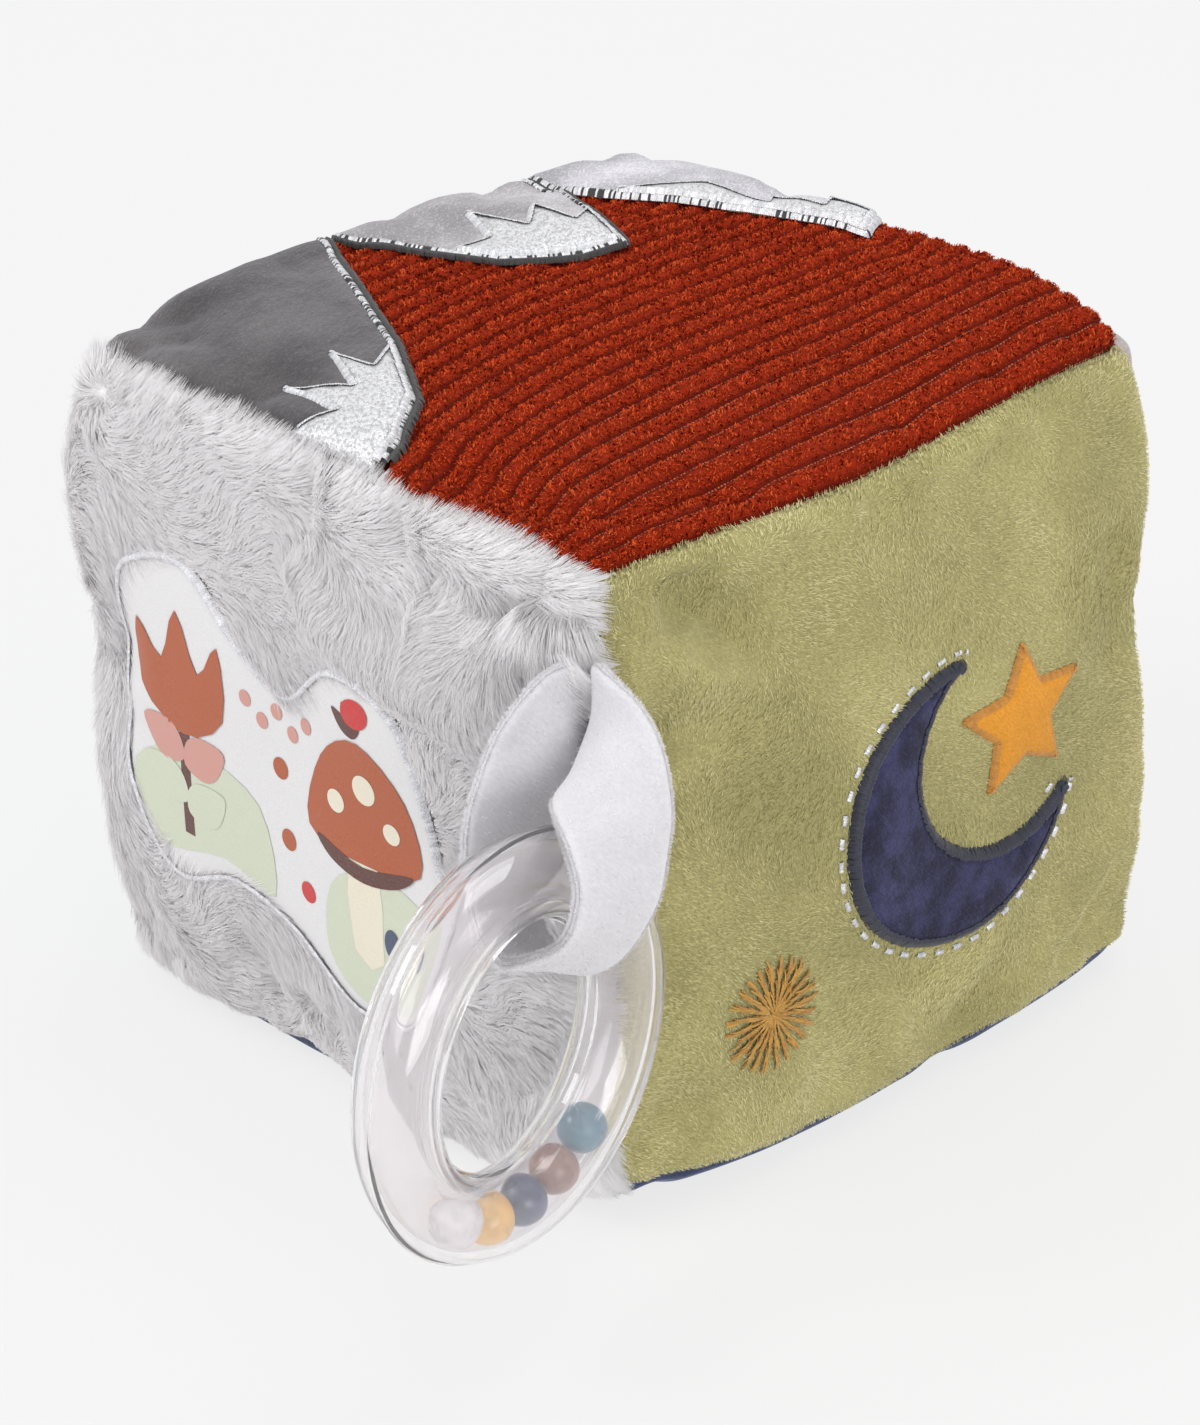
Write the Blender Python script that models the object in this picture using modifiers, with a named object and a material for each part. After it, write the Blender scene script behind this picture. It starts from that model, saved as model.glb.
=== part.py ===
"""Soft fabric activity block with a clear rattle ring on a sewn loop.

Metres, +Z up. The origin is the middle of the flat base that the block stands on.
The front, at -Y, is the furry face; +X is the olive velour face.
"""

import math

import bmesh
import bpy
from mathutils import Matrix, Vector

# Block: the puffed cube that the six panels enclose
SEAM_HALF_WIDTH = 0.0625
SEAM_HALF_HEIGHT = 0.059
BASE_CORNER_RISE = 0.0031
SIDE_CROWN = 0.003
SIDE_ROLL = 0.003
TOP_CROWN = 0.004
BASE_CROWN = 0.0036
TOP_SEAM_BOW = 0.0019
BASE_SEAM_BOW = 0.0038
CORNER_EASE = 0.0014
LUMP_DEPTH = 0.004
PANEL_THICKNESS = 0.0025
TOUCHING_GAP = 0.0003
ROLL_POWER = 10
EASE_POWER = 6
BOW_POWER = 4
DOME_CROWN_SHARE = 0.45
PANEL_SEGMENTS = 12
FILLING_SEGMENTS = 10

# Appliqués
VELOUR_THICKNESS = 0.0013
SATIN_THICKNESS = 0.0009
FELT_THICKNESS = 0.0018
THREAD_THICKNESS = 0.0008
PATCH_THICKNESS = 0.0008
CUTTER_REACH = 0.03

# Loop strap, sewn into the front upright seam
STRAP_WIDTH = 0.019
STRAP_THICKNESS = 0.0022
STRAP_ROOT_BELOW_SEAM = 0.0226
STRAP_ROOT_STANDOFF = 0.00354
STRAP_ROOT_RADIUS = 0.0024
STRAP_TUCK_DEPTH = 0.009
STRAP_REACH = 0.0306
STRAP_SPREAD = 0.014
STRAP_DROP = 0.0276
STRAP_STEPS = 48
STRAP_ACROSS = 4

# Rattle ring, welded from two half shells
RING_YAW = math.radians(9.8)
RING_RADIUS = 0.0282
TUBE_RADIUS = 0.007
TUBE_WALL = 0.002
WELD_LIP = 0.0005
WELD_LIP_HEIGHT = 0.0006
RING_SEGMENTS = 48
TUBE_SEGMENTS = 8
RING_HANG_ANGLE = math.radians(38)

# Beads inside the ring
BEAD_RADIUS = 0.0042
BEAD_SEGMENTS = 16
BEAD_RINGS = 10

# Shading and welding
SMOOTH_ANGLE = math.radians(40)
MERGE_DISTANCE = 0.00002

# Unit directions at the strap's seam: straight out of the corner, along the seam's side, and up
OUTWARD = Vector((1, -1, 0)).normalized()
SIDEWAYS = Vector((1, 1, 0)).normalized()
UPWARD = Vector((0, 0, 1))

# Where loose stuffing pushes the cover or sinks: the place on the unit cube, the push as shares
# of the lump depth, and the reach as a share of the cube's half width
LUMP_SHARES = (
    ((-1.0, -1.0, 0.6), (-0.75, -0.75, 0.00), 0.42),
    ((-1.0, -1.0, 1.0), (0.30, 0.15, -0.15), 0.30),
    ((-1.0, -0.55, 1.0), (0.00, 0.00, 0.35), 0.35),
    ((1.0, 1.0, 0.62), (0.42, 0.45, 0.00), 0.36),
    ((1.0, 1.0, 1.0), (-0.25, -0.25, -0.35), 0.30),
    ((-1.0, 1.0, 1.0), (0.30, -0.30, -0.80), 0.55),
    ((0.6, 1.0, 1.0), (0.00, 0.20, 0.60), 0.40),
    ((1.0, -0.1, 1.0), (0.40, 0.00, -0.30), 0.45),
    ((1.0, -0.45, -1.0), (0.20, 0.00, 0.00), 0.40),
    ((1.0, -1.0, -1.0), (-0.10, 0.10, 0.50), 0.40),
    ((1.0, 1.0, -0.3), (0.30, 0.35, 0.00), 0.35),
    ((-1.0, -1.0, -0.4), (-0.50, -0.30, 0.00), 0.45),
    ((-0.2, -1.0, -1.0), (0.00, 0.70, 0.00), 0.70),
)

# The strap's middle line as shares of its reach, spread and drop, then its width's direction
STRAP_ROUTE_SHARES = (
    ((0.00, 0.10, 0.00), (0.00, 0.00, 1.00)),
    ((0.20, 0.03, 0.04), (-0.10, 0.32, 0.94)),
    ((0.54, 0.22, -0.09), (-0.36, 0.88, 0.28)),
    ((0.85, 0.32, -0.28), (-0.55, 0.79, -0.28)),
    ((1.00, 0.31, -0.55), (-0.67, 0.56, -0.48)),
    ((0.95, 0.06, -0.86), (-0.73, 0.47, -0.49)),
    ((0.84, -0.39, -1.06), (-0.74, 0.44, -0.51)),
    ((0.70, -0.75, -1.11), (-0.81, 0.40, -0.42)),
    ((0.52, -1.00, -0.93), (-0.78, 0.50, -0.37)),
    ((0.37, -0.91, -0.59), (-0.59, 0.70, -0.40)),
    ((0.23, -0.68, -0.25), (-0.36, 0.66, -0.66)),
    ((0.11, -0.34, -0.02), (-0.05, 0.34, -0.94)),
    ((0.00, -0.10, 0.00), (0.00, 0.00, -1.00)),
)

# Where the ring's tube lies in the strap's bight, as shares of the strap's reach, spread and drop
RING_HANG_SHARES = (0.5057, -0.2066, -0.7130)

# Outlines as shares of a face's half width and half height, from its middle
PRINT_PATCH_SHARES = (
    (-0.80, 0.10), (-0.74, 0.42), (-0.50, 0.54), (-0.28, 0.36), (-0.10, 0.26),
    (0.10, 0.42), (0.34, 0.36), (0.46, 0.08), (0.50, -0.25), (0.40, -0.58),
    (0.12, -0.66), (-0.12, -0.50), (-0.36, -0.44), (-0.62, -0.52), (-0.78, -0.28),
)
NEAR_PEAK_SHARES = (
    (-0.97, -0.96), (0.20, -0.96), (0.16, -0.86), (0.02, -0.68), (-0.27, -0.50), (-0.97, -0.16),
)
NEAR_CAP_SHARES = (
    (0.18, -0.95), (0.14, -0.86), (0.01, -0.69), (-0.26, -0.52), (-0.19, -0.64),
    (-0.34, -0.66), (-0.14, -0.75), (-0.32, -0.84), (-0.08, -0.86), (-0.12, -0.95),
)
MIDDLE_PEAK_SHARES = (
    (-0.97, -0.12), (-0.88, -0.14), (-0.47, 0.04), (-0.34, 0.22), (-0.31, 0.35),
    (-0.76, 0.54), (-0.97, 0.57),
)
MIDDLE_CAP_SHARES = (
    (-0.60, 0.00), (-0.48, 0.055), (-0.36, 0.225), (-0.33, 0.34), (-0.55, 0.43),
    (-0.51, 0.35), (-0.68, 0.35), (-0.58, 0.24), (-0.77, 0.19), (-0.60, 0.12),
)
FAR_PEAK_SHARES = (
    (-0.97, 0.61), (-0.74, 0.56), (-0.47, 0.68), (-0.18, 0.765), (0.11, 0.84),
    (0.06, 0.93), (-0.10, 0.96), (-0.97, 0.96),
)
FAR_CAP_SHARES = (
    (-0.64, 0.62), (-0.47, 0.695), (-0.18, 0.78), (0.09, 0.845), (0.04, 0.92), (-0.14, 0.93),
    (-0.10, 0.87), (-0.30, 0.88), (-0.26, 0.81), (-0.48, 0.80),
)
MOON_CENTRE_SHARES = (0.20, -0.14)
MOON_RADIUS_SHARE = 0.42
MOON_HOLLOW_CENTRE_SHARES = (0.37, -0.02)
MOON_HOLLOW_RADIUS_SHARE = 0.33
STAR_CENTRE_SHARES = (0.44, 0.03)
STAR_RADIUS_SHARE = 0.23
STAR_WAIST_SHARE = 0.115
STAR_POINTS = 5
BURST_CENTRE_SHARES = (-0.50, -0.52)
BURST_RADIUS_SHARE = 0.19
BURST_WAIST_SHARE = 0.12
BURST_POINTS = 12

# Each face's outward axis, then the axes that its outlines run along
FACES = {
    "front": (Vector((0, -1, 0)), Vector((1, 0, 0)), Vector((0, 0, 1))),
    "right": (Vector((1, 0, 0)), Vector((0, 1, 0)), Vector((0, 0, 1))),
    "top": (Vector((0, 0, 1)), Vector((1, 0, 0)), Vector((0, 1, 0))),
    "left": (Vector((-1, 0, 0)), Vector((0, -1, 0)), Vector((0, 0, 1))),
    "back": (Vector((0, 1, 0)), Vector((-1, 0, 0)), Vector((0, 0, 1))),
    "base": (Vector((0, 0, -1)), Vector((1, 0, 0)), Vector((0, -1, 0))),
}

# Colour, roughness and metallic value of each material
FINISHES = {
    "white fur": ((0.86, 0.85, 0.86), 0.9, 0.0),
    "olive velour": ((0.36, 0.35, 0.14), 0.9, 0.0),
    "rust corduroy": ((0.44, 0.045, 0.01), 0.9, 0.0),
    "light blue plush": ((0.30, 0.46, 0.68), 0.9, 0.0),
    "warm grey plush": ((0.42, 0.38, 0.37), 0.9, 0.0),
    "navy plush": ((0.03, 0.035, 0.08), 0.9, 0.0),
    "polyester filling": ((0.9, 0.9, 0.88), 1.0, 0.0),
    "printed satin": ((0.82, 0.8, 0.78), 0.6, 0.0),
    "dark grey velour": ((0.17, 0.16, 0.16), 0.9, 0.0),
    "mid grey velour": ((0.36, 0.35, 0.37), 0.9, 0.0),
    "light grey velour": ((0.5, 0.49, 0.51), 0.9, 0.0),
    "silver satin": ((0.75, 0.76, 0.78), 0.4, 0.0),
    "navy velour": ((0.025, 0.025, 0.07), 0.9, 0.0),
    "mustard felt": ((0.68, 0.26, 0.02), 0.95, 0.0),
    "gold thread": ((0.6, 0.32, 0.03), 0.5, 0.0),
    "white plush strap": ((0.88, 0.87, 0.88), 0.9, 0.0),
    "clear plastic": ((0.9, 0.9, 0.92), 0.05, 0.0),
    "teal bead": ((0.08, 0.2, 0.27), 0.25, 0.0),
    "mauve bead": ((0.3, 0.16, 0.13), 0.25, 0.0),
    "navy bead": ((0.035, 0.045, 0.12), 0.25, 0.0),
    "yellow bead": ((0.83, 0.46, 0.1), 0.25, 0.0),
    "white bead": ((0.75, 0.72, 0.73), 0.25, 0.0),
}


def clear_scene():
    """Remove whatever the scene holds."""
    for item in list(bpy.data.objects):
        bpy.data.objects.remove(item, do_unlink=True)


def make_collection(name):
    """Return a new collection linked to the scene."""
    collection = bpy.data.collections.new(name)
    bpy.context.scene.collection.children.link(collection)
    return collection


clear_scene()
PARTS = make_collection("fabric_activity_block")
CUTTERS = make_collection("cutters")


def make_material(name):
    """Return the named material, made on first use."""
    material = bpy.data.materials.get(name)
    if material is None:
        colour, roughness, metallic = FINISHES[name]
        material = bpy.data.materials.new(name)
        material.use_nodes = True
        shader = material.node_tree.nodes["Principled BSDF"]
        shader.inputs["Base Color"].default_value = (*colour, 1)
        shader.inputs["Roughness"].default_value = roughness
        shader.inputs["Metallic"].default_value = metallic
    return material


def add_mesh_object(name, shape, finish, smooth=True):
    """Turn a bmesh into a part with its own material and free the bmesh."""
    bmesh.ops.recalc_face_normals(shape, faces=shape.faces)
    mesh = bpy.data.meshes.new(name)
    shape.to_mesh(mesh)
    shape.free()
    if smooth:
        mesh.shade_smooth()
        mesh.set_sharp_from_angle(angle=SMOOTH_ANGLE)
    mesh.materials.append(make_material(finish))
    part = bpy.data.objects.new(name, mesh)
    PARTS.objects.link(part)
    return part


def add_cutter(name, shape):
    """Turn a bmesh into a hidden cutter."""
    bmesh.ops.recalc_face_normals(shape, faces=shape.faces)
    mesh = bpy.data.meshes.new(name)
    shape.to_mesh(mesh)
    shape.free()
    cutter = bpy.data.objects.new(name, mesh)
    cutter.hide_render = True
    cutter.display_type = "WIRE"
    CUTTERS.objects.link(cutter)
    return cutter


def add_empty(name, location, parent=None):
    """Return an empty that carries the pieces of one moving body."""
    empty = bpy.data.objects.new(name, None)
    empty.location = location
    empty.parent = parent
    PARTS.objects.link(empty)
    return empty


def add_boolean(part, cutter, operation):
    """Cut or join a part with a cutter, exactly."""
    modifier = part.modifiers.new(operation.lower(), "BOOLEAN")
    modifier.object = cutter
    modifier.operation = operation
    modifier.solver = "EXACT"
    return modifier


def smooth_value(before, start, end, after, share):
    """Return the point of a smooth curve between two of its points."""
    square = share * share
    cube = square * share
    return 0.5 * (
        2 * start
        + (end - before) * share
        + (2 * before - 5 * start + 4 * end - after) * square
        + (3 * start - before - 3 * end + after) * cube
    )


# Block


def dome(share):
    """Rise of a round dome: 1 in the middle and 0 at the seam."""
    return 1 - share * share


def cushion_roll(share):
    """Rise of a flat cushion with rolled edges: 1 in the middle and 0 at the seam."""
    return 1 - abs(share) ** ROLL_POWER


def side_bulge(along, height):
    """How far an upright face swells out, at its shares along and up."""
    rise = (height + 1) / 2
    bow = TOP_SEAM_BOW * rise**BOW_POWER + BASE_SEAM_BOW * (1 - rise) ** BOW_POWER
    crown = SIDE_CROWN * dome(along) * dome(height)
    rolled = SIDE_ROLL * cushion_roll(along) * cushion_roll(height)
    return crown + rolled + bow * dome(along)


def cap_bulge(crown, across, along):
    """How far the top or the base swells out, at its two shares."""
    domed = DOME_CROWN_SHARE * dome(across) * dome(along)
    rolled = (1 - DOME_CROWN_SHARE) * cushion_roll(across) * cushion_roll(along)
    return crown * (domed + rolled)


def block_point(shares, inset):
    """Point of the puffed cube for a point of the unit cube, moved in by the inset."""
    x, y, z = shares
    crown = TOP_CROWN if z > 0 else BASE_CROWN
    ease = CORNER_EASE * abs(x * y * z) ** EASE_POWER
    wide = SEAM_HALF_WIDTH - inset - ease
    tall = SEAM_HALF_HEIGHT - inset - ease
    point = Vector(
        (
            x * (wide + side_bulge(y, z)),
            y * (wide + side_bulge(x, z)),
            z * (tall + cap_bulge(crown, x, y)) + BASE_CORNER_RISE + SEAM_HALF_HEIGHT,
        )
    )
    for place, push, reach in LUMP_SHARES:
        away = Vector(shares) - Vector(place)
        fade = math.exp(-away.length_squared / reach**2)
        point += Vector(push) * (LUMP_DEPTH * fade)
    point.z = max(point.z, inset)
    return point


def face_shares(face, along, up):
    """Point of the unit cube for a face's two shares."""
    outward, side, rise = FACES[face]
    return outward + side * along + rise * up


def face_layer(face, inset, thickness, reach_share):
    """Return a curved slab that follows a face, its outer skin moved in by the inset."""
    layer = bmesh.new()
    bmesh.ops.create_grid(
        layer, x_segments=PANEL_SEGMENTS, y_segments=PANEL_SEGMENTS, size=reach_share
    )
    shares = {vert: (vert.co.x, vert.co.y) for vert in layer.verts}
    outer = list(layer.verts)
    grown = bmesh.ops.extrude_face_region(layer, geom=list(layer.faces), use_keep_orig=True)
    inner = [item for item in grown["geom"] if isinstance(item, bmesh.types.BMVert)]
    for vert in inner:
        along, up = vert.co.x, vert.co.y
        vert.co = block_point(face_shares(face, along, up), inset + thickness)
    for vert in outer:
        along, up = shares[vert]
        vert.co = block_point(face_shares(face, along, up), inset)
    return layer


def make_panel(name, face, finish):
    """Add one fabric panel, its rims mitred at the seams."""
    seam_share = TOUCHING_GAP / (math.sqrt(2) * SEAM_HALF_WIDTH)
    layer = face_layer(face, 0, PANEL_THICKNESS, 1 - seam_share)
    return add_mesh_object(name, layer, finish)


def make_filling():
    """Add the fibre filling inside the panels."""
    filling = bmesh.new()
    bmesh.ops.create_cube(filling, size=2)
    bmesh.ops.subdivide_edges(
        filling, edges=filling.edges, cuts=FILLING_SEGMENTS - 1, use_grid_fill=True
    )
    for vert in filling.verts:
        vert.co = block_point(vert.co, PANEL_THICKNESS + TOUCHING_GAP)
    return add_mesh_object("fibre_filling", filling, "polyester filling")


# Appliqués


def smooth_outline(shares, steps):
    """Return a closed outline that runs smoothly through the given points."""
    points = [Vector(point) for point in shares]
    count = len(points)
    outline = []
    for index in range(count):
        before, start = points[index - 1], points[index]
        end, after = points[(index + 1) % count], points[(index + 2) % count]
        for step in range(steps):
            outline.append(smooth_value(before, start, end, after, step / steps))
    return outline


def star_outline(centre, radius, waist, points):
    """Return a star's outline, first point up."""
    outline = []
    for index in range(2 * points):
        reach = waist if index % 2 else radius
        angle = math.pi / 2 + math.pi * index / points
        outline.append(Vector(centre) + reach * Vector((math.cos(angle), math.sin(angle))))
    return outline


def circle_crossings(centre, radius, other, other_radius):
    """Return the angles on the first circle where the second one crosses it."""
    link = Vector(other) - Vector(centre)
    distance = link.length
    middle = math.atan2(link.y, link.x)
    ratio = (radius**2 + distance**2 - other_radius**2) / (2 * distance * radius)
    spread = math.acos(ratio)
    return middle - spread, middle + spread


def arc(centre, radius, start, end, steps):
    """Return the points of an arc, its last one left out."""
    points = []
    for step in range(steps):
        angle = start + (end - start) * step / steps
        points.append(Vector(centre) + radius * Vector((math.cos(angle), math.sin(angle))))
    return points


def moon_outline(steps):
    """Return a crescent: one circle with another cut out of it."""
    outer = (MOON_CENTRE_SHARES, MOON_RADIUS_SHARE)
    hollow = (MOON_HOLLOW_CENTRE_SHARES, MOON_HOLLOW_RADIUS_SHARE)
    low, high = circle_crossings(*outer, *hollow)
    back = arc(*outer, high, low + 2 * math.pi, 2 * steps)
    hollow_low, hollow_high = circle_crossings(*hollow, *outer)
    inside = arc(*hollow, hollow_high, hollow_low, steps)
    return back + inside


def outline_prism(name, face, outline):
    """Return a cutter that runs through a face along an outline."""
    outward, side, rise = FACES[face]
    height = SEAM_HALF_WIDTH if face == "top" else SEAM_HALF_HEIGHT
    curve = bpy.data.curves.new(name, "CURVE")
    curve.dimensions = "2D"
    curve.fill_mode = "BOTH"
    curve.extrude = CUTTER_REACH
    spline = curve.splines.new("POLY")
    spline.points.add(len(outline) - 1)
    for point, shares in zip(spline.points, outline):
        point.co = (shares.x * SEAM_HALF_WIDTH, shares.y * height, 0, 1)
    spline.use_cyclic_u = True
    drawn = bpy.data.objects.new(name + "_outline", curve)
    CUTTERS.objects.link(drawn)
    mesh = bpy.data.meshes.new_from_object(
        drawn.evaluated_get(bpy.context.evaluated_depsgraph_get())
    )
    prism = bmesh.new()
    prism.from_mesh(mesh)
    bpy.data.objects.remove(drawn, do_unlink=True)
    bpy.data.meshes.remove(mesh)
    bmesh.ops.remove_doubles(prism, verts=prism.verts, dist=MERGE_DISTANCE)
    middle = block_point(outward, 0)
    frame = Matrix((side, rise, outward)).transposed().to_4x4()
    if face != "top":
        middle.z = BASE_CORNER_RISE + SEAM_HALF_HEIGHT
    bmesh.ops.transform(prism, matrix=Matrix.Translation(middle) @ frame, verts=prism.verts)
    return add_cutter(name, prism)


def make_applique(name, face, outline, thickness, finish, under=0):
    """Add a flat piece sewn on a face, lying on the panel or on the layer under it."""
    lift = TOUCHING_GAP + under + thickness
    layer = face_layer(face, -lift, thickness, 1)
    piece = add_mesh_object(name, layer, finish)
    add_boolean(piece, outline_prism(name + "_cutter", face, outline), "INTERSECT")
    return piece


def make_peak(name, peak_shares, cap_shares, finish):
    """Add a velour peak and the satin cap sewn on its tip."""
    peak = [Vector(point) for point in peak_shares]
    cap = [Vector(point) for point in cap_shares]
    make_applique(name, "top", peak, VELOUR_THICKNESS, finish)
    under = VELOUR_THICKNESS + TOUCHING_GAP
    make_applique(name + "_cap", "top", cap, SATIN_THICKNESS, "silver satin", under)


def make_top_appliques():
    """Add the three peaks on the top."""
    make_peak("near_peak", NEAR_PEAK_SHARES, NEAR_CAP_SHARES, "dark grey velour")
    make_peak("middle_peak", MIDDLE_PEAK_SHARES, MIDDLE_CAP_SHARES, "mid grey velour")
    make_peak("far_peak", FAR_PEAK_SHARES, FAR_CAP_SHARES, "light grey velour")


def make_front_patch():
    """Add the printed satin patch on the furry face."""
    outline = smooth_outline(PRINT_PATCH_SHARES, 3)
    make_applique("front_print_patch", "front", outline, PATCH_THICKNESS, "printed satin")


def make_right_appliques():
    """Add the moon, the star and the thread burst on the olive face."""
    star = star_outline(STAR_CENTRE_SHARES, STAR_RADIUS_SHARE, STAR_WAIST_SHARE, STAR_POINTS)
    burst = star_outline(
        BURST_CENTRE_SHARES, BURST_RADIUS_SHARE, BURST_WAIST_SHARE, BURST_POINTS
    )
    make_applique("moon_applique", "right", moon_outline(12), VELOUR_THICKNESS, "navy velour")
    make_applique("star_applique", "right", star, FELT_THICKNESS, "mustard felt")
    make_applique("thread_burst", "right", burst, THREAD_THICKNESS, "gold thread")


# Strap


def strap_hinge_point():
    """Middle of the upright line that the loop swings on, just outside the seam."""
    top_seam = BASE_CORNER_RISE + 2 * SEAM_HALF_HEIGHT
    corner = Vector((SEAM_HALF_WIDTH, -SEAM_HALF_WIDTH, top_seam - STRAP_ROOT_BELOW_SEAM))
    return corner + OUTWARD * STRAP_ROOT_STANDOFF


def strap_place(shares):
    """Offset from the hinge point for shares of the strap's reach, spread and drop."""
    out, side, up = shares
    offset = OUTWARD * (out * STRAP_REACH) + SIDEWAYS * (side * STRAP_SPREAD)
    return offset + UPWARD * (up * STRAP_DROP)


def strap_section(share):
    """Return the strap's middle point and width direction at a share of its length."""
    count = len(STRAP_ROUTE_SHARES) - 1
    place = share * count
    index = min(int(place), count - 1)
    near = [STRAP_ROUTE_SHARES[min(max(index + step, 0), count)] for step in (-1, 0, 1, 2)]
    points = [Vector(entry[0]) for entry in near]
    widths = [Vector(entry[1]) for entry in near]
    if index == 0:
        points[0] = 2 * points[1] - points[2]
        widths[0] = 2 * widths[1] - widths[2]
    if index == count - 1:
        points[3] = 2 * points[2] - points[1]
        widths[3] = 2 * widths[2] - widths[1]
    middle = smooth_value(*points, place - index)
    width = smooth_value(*widths, place - index).normalized()
    return middle, width


def make_strap_loop(hinge):
    """Add the folded plush loop with the bead-like root that its two ends share."""
    ribbon = bmesh.new()
    bmesh.ops.create_grid(ribbon, x_segments=STRAP_STEPS, y_segments=STRAP_ACROSS, size=1)
    for vert in ribbon.verts:
        middle, width = strap_section((vert.co.x + 1) / 2)
        across = vert.co.y * STRAP_WIDTH / 2
        lean = OUTWARD * width.x + SIDEWAYS * width.y + UPWARD * width.z
        vert.co = strap_place(middle) + lean * across
    loop = add_mesh_object("strap_loop", ribbon, "white plush strap")
    loop.parent = hinge
    wrap = loop.modifiers.new("thickness", "SOLIDIFY")
    wrap.thickness = STRAP_THICKNESS
    wrap.offset = 0
    root = bmesh.new()
    bmesh.ops.create_cone(
        root,
        cap_ends=True,
        segments=16,
        radius1=STRAP_ROOT_RADIUS,
        radius2=STRAP_ROOT_RADIUS,
        depth=STRAP_WIDTH + 2 * TOUCHING_GAP,
    )
    bmesh.ops.translate(root, vec=strap_hinge_point(), verts=root.verts)
    union = add_boolean(loop, add_cutter("strap_root", root), "UNION")
    union.use_self = True
    return loop


def tucked_box(margin):
    """Return a box inwards from the hinge line, as big as the two tucked ends plus a margin."""
    box = bmesh.new()
    bmesh.ops.create_cube(box, size=1)
    ends = Vector((STRAP_TUCK_DEPTH, 2 * STRAP_THICKNESS, STRAP_WIDTH))
    bmesh.ops.scale(box, vec=ends + 2 * Vector((margin, margin, margin)), verts=box.verts)
    bmesh.ops.translate(box, vec=(-STRAP_TUCK_DEPTH / 2, 0, 0), verts=box.verts)
    return box


def make_strap_ends(cut_pieces):
    """Add the two sewn-in ends of the strap and the slit that they fill."""
    turn = Matrix.Rotation(-math.pi / 4, 4, "Z")
    seat = Matrix.Translation(strap_hinge_point()) @ turn
    ends = add_mesh_object("strap_ends", tucked_box(0), "white plush strap", smooth=False)
    ends.location = strap_hinge_point()
    ends.rotation_euler = turn.to_euler()
    bore = bmesh.new()
    reach = STRAP_ROOT_RADIUS + TOUCHING_GAP
    bmesh.ops.create_cone(
        bore, cap_ends=True, segments=24, radius1=reach, radius2=reach, depth=2 * STRAP_WIDTH
    )
    bmesh.ops.translate(bore, vec=strap_hinge_point(), verts=bore.verts)
    add_boolean(ends, add_cutter("strap_root_clearance", bore), "DIFFERENCE")
    slit = tucked_box(TOUCHING_GAP)
    bmesh.ops.transform(slit, matrix=seat, verts=slit.verts)
    slit_cutter = add_cutter("strap_slit", slit)
    for piece in cut_pieces:
        add_boolean(piece, slit_cutter, "DIFFERENCE")


# Ring and beads


def ring_turn():
    """Return the ring's turn: X towards the block, Y up, Z along its axis."""
    axis = Vector((math.cos(RING_YAW), math.sin(RING_YAW), 0))
    inward = UPWARD.cross(axis)
    return Matrix((inward, UPWARD, axis)).transposed()


def ring_place(radius, angle):
    """Local point of the ring at a radius and an angle from its top towards the block."""
    return Vector((radius * math.sin(angle), radius * math.cos(angle), 0))


def shell_profile(shell):
    """Draw one half shell's closed outline in the plane of X and Z, at the ring's radius."""
    half_gap = TOUCHING_GAP / 2
    bore = TUBE_RADIUS - TUBE_WALL
    edge = WELD_LIP_HEIGHT + half_gap
    points = [(TUBE_RADIUS + WELD_LIP, half_gap), (TUBE_RADIUS + WELD_LIP, edge)]
    start = math.asin(edge / TUBE_RADIUS)
    for step in range(TUBE_SEGMENTS + 1):
        angle = start + (math.pi - 2 * start) * step / TUBE_SEGMENTS
        points.append((TUBE_RADIUS * math.cos(angle), TUBE_RADIUS * math.sin(angle)))
    points += [(-TUBE_RADIUS - WELD_LIP, edge), (-TUBE_RADIUS - WELD_LIP, half_gap)]
    low = math.asin(half_gap / bore)
    for step in range(TUBE_SEGMENTS + 1):
        angle = math.pi - low - (math.pi - 2 * low) * step / TUBE_SEGMENTS
        points.append((bore * math.cos(angle), bore * math.sin(angle)))
    verts = [shell.verts.new((RING_RADIUS + across, 0, up)) for across, up in points]
    return [shell.edges.new((verts[index - 1], verts[index])) for index in range(len(verts))]


def make_ring_shell(name, side, carrier):
    """Add one of the ring's two trough-shaped halves by turning its outline."""
    shell = bmesh.new()
    profile = shell_profile(shell)
    bmesh.ops.spin(
        shell,
        geom=list(shell.verts) + profile,
        cent=(0, 0, 0),
        axis=(0, 0, 1),
        angle=2 * math.pi,
        steps=RING_SEGMENTS,
        use_merge=True,
    )
    bmesh.ops.scale(shell, vec=(1, 1, side), verts=shell.verts)
    half = add_mesh_object(name, shell, "clear plastic")
    half.parent = carrier
    half.location = -ring_place(RING_RADIUS, RING_HANG_ANGLE)
    return half


def make_beads(axle):
    """Add the five beads that lie against the outer wall at the ring's lowest place."""
    play = TUBE_RADIUS - TUBE_WALL - BEAD_RADIUS - TOUCHING_GAP
    radius = RING_RADIUS + play
    pitch = 2 * math.asin((BEAD_RADIUS + TOUCHING_GAP / 2) / radius)
    order = ("teal", "mauve", "navy", "yellow", "white")
    for index, colour in enumerate(order):
        ball = bmesh.new()
        bmesh.ops.create_uvsphere(
            ball, u_segments=BEAD_SEGMENTS, v_segments=BEAD_RINGS, radius=BEAD_RADIUS
        )
        bead = add_mesh_object("bead_" + colour, ball, colour + " bead")
        bead.parent = axle
        bead.location = ring_place(radius, math.pi + (index - 2) * pitch)


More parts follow.
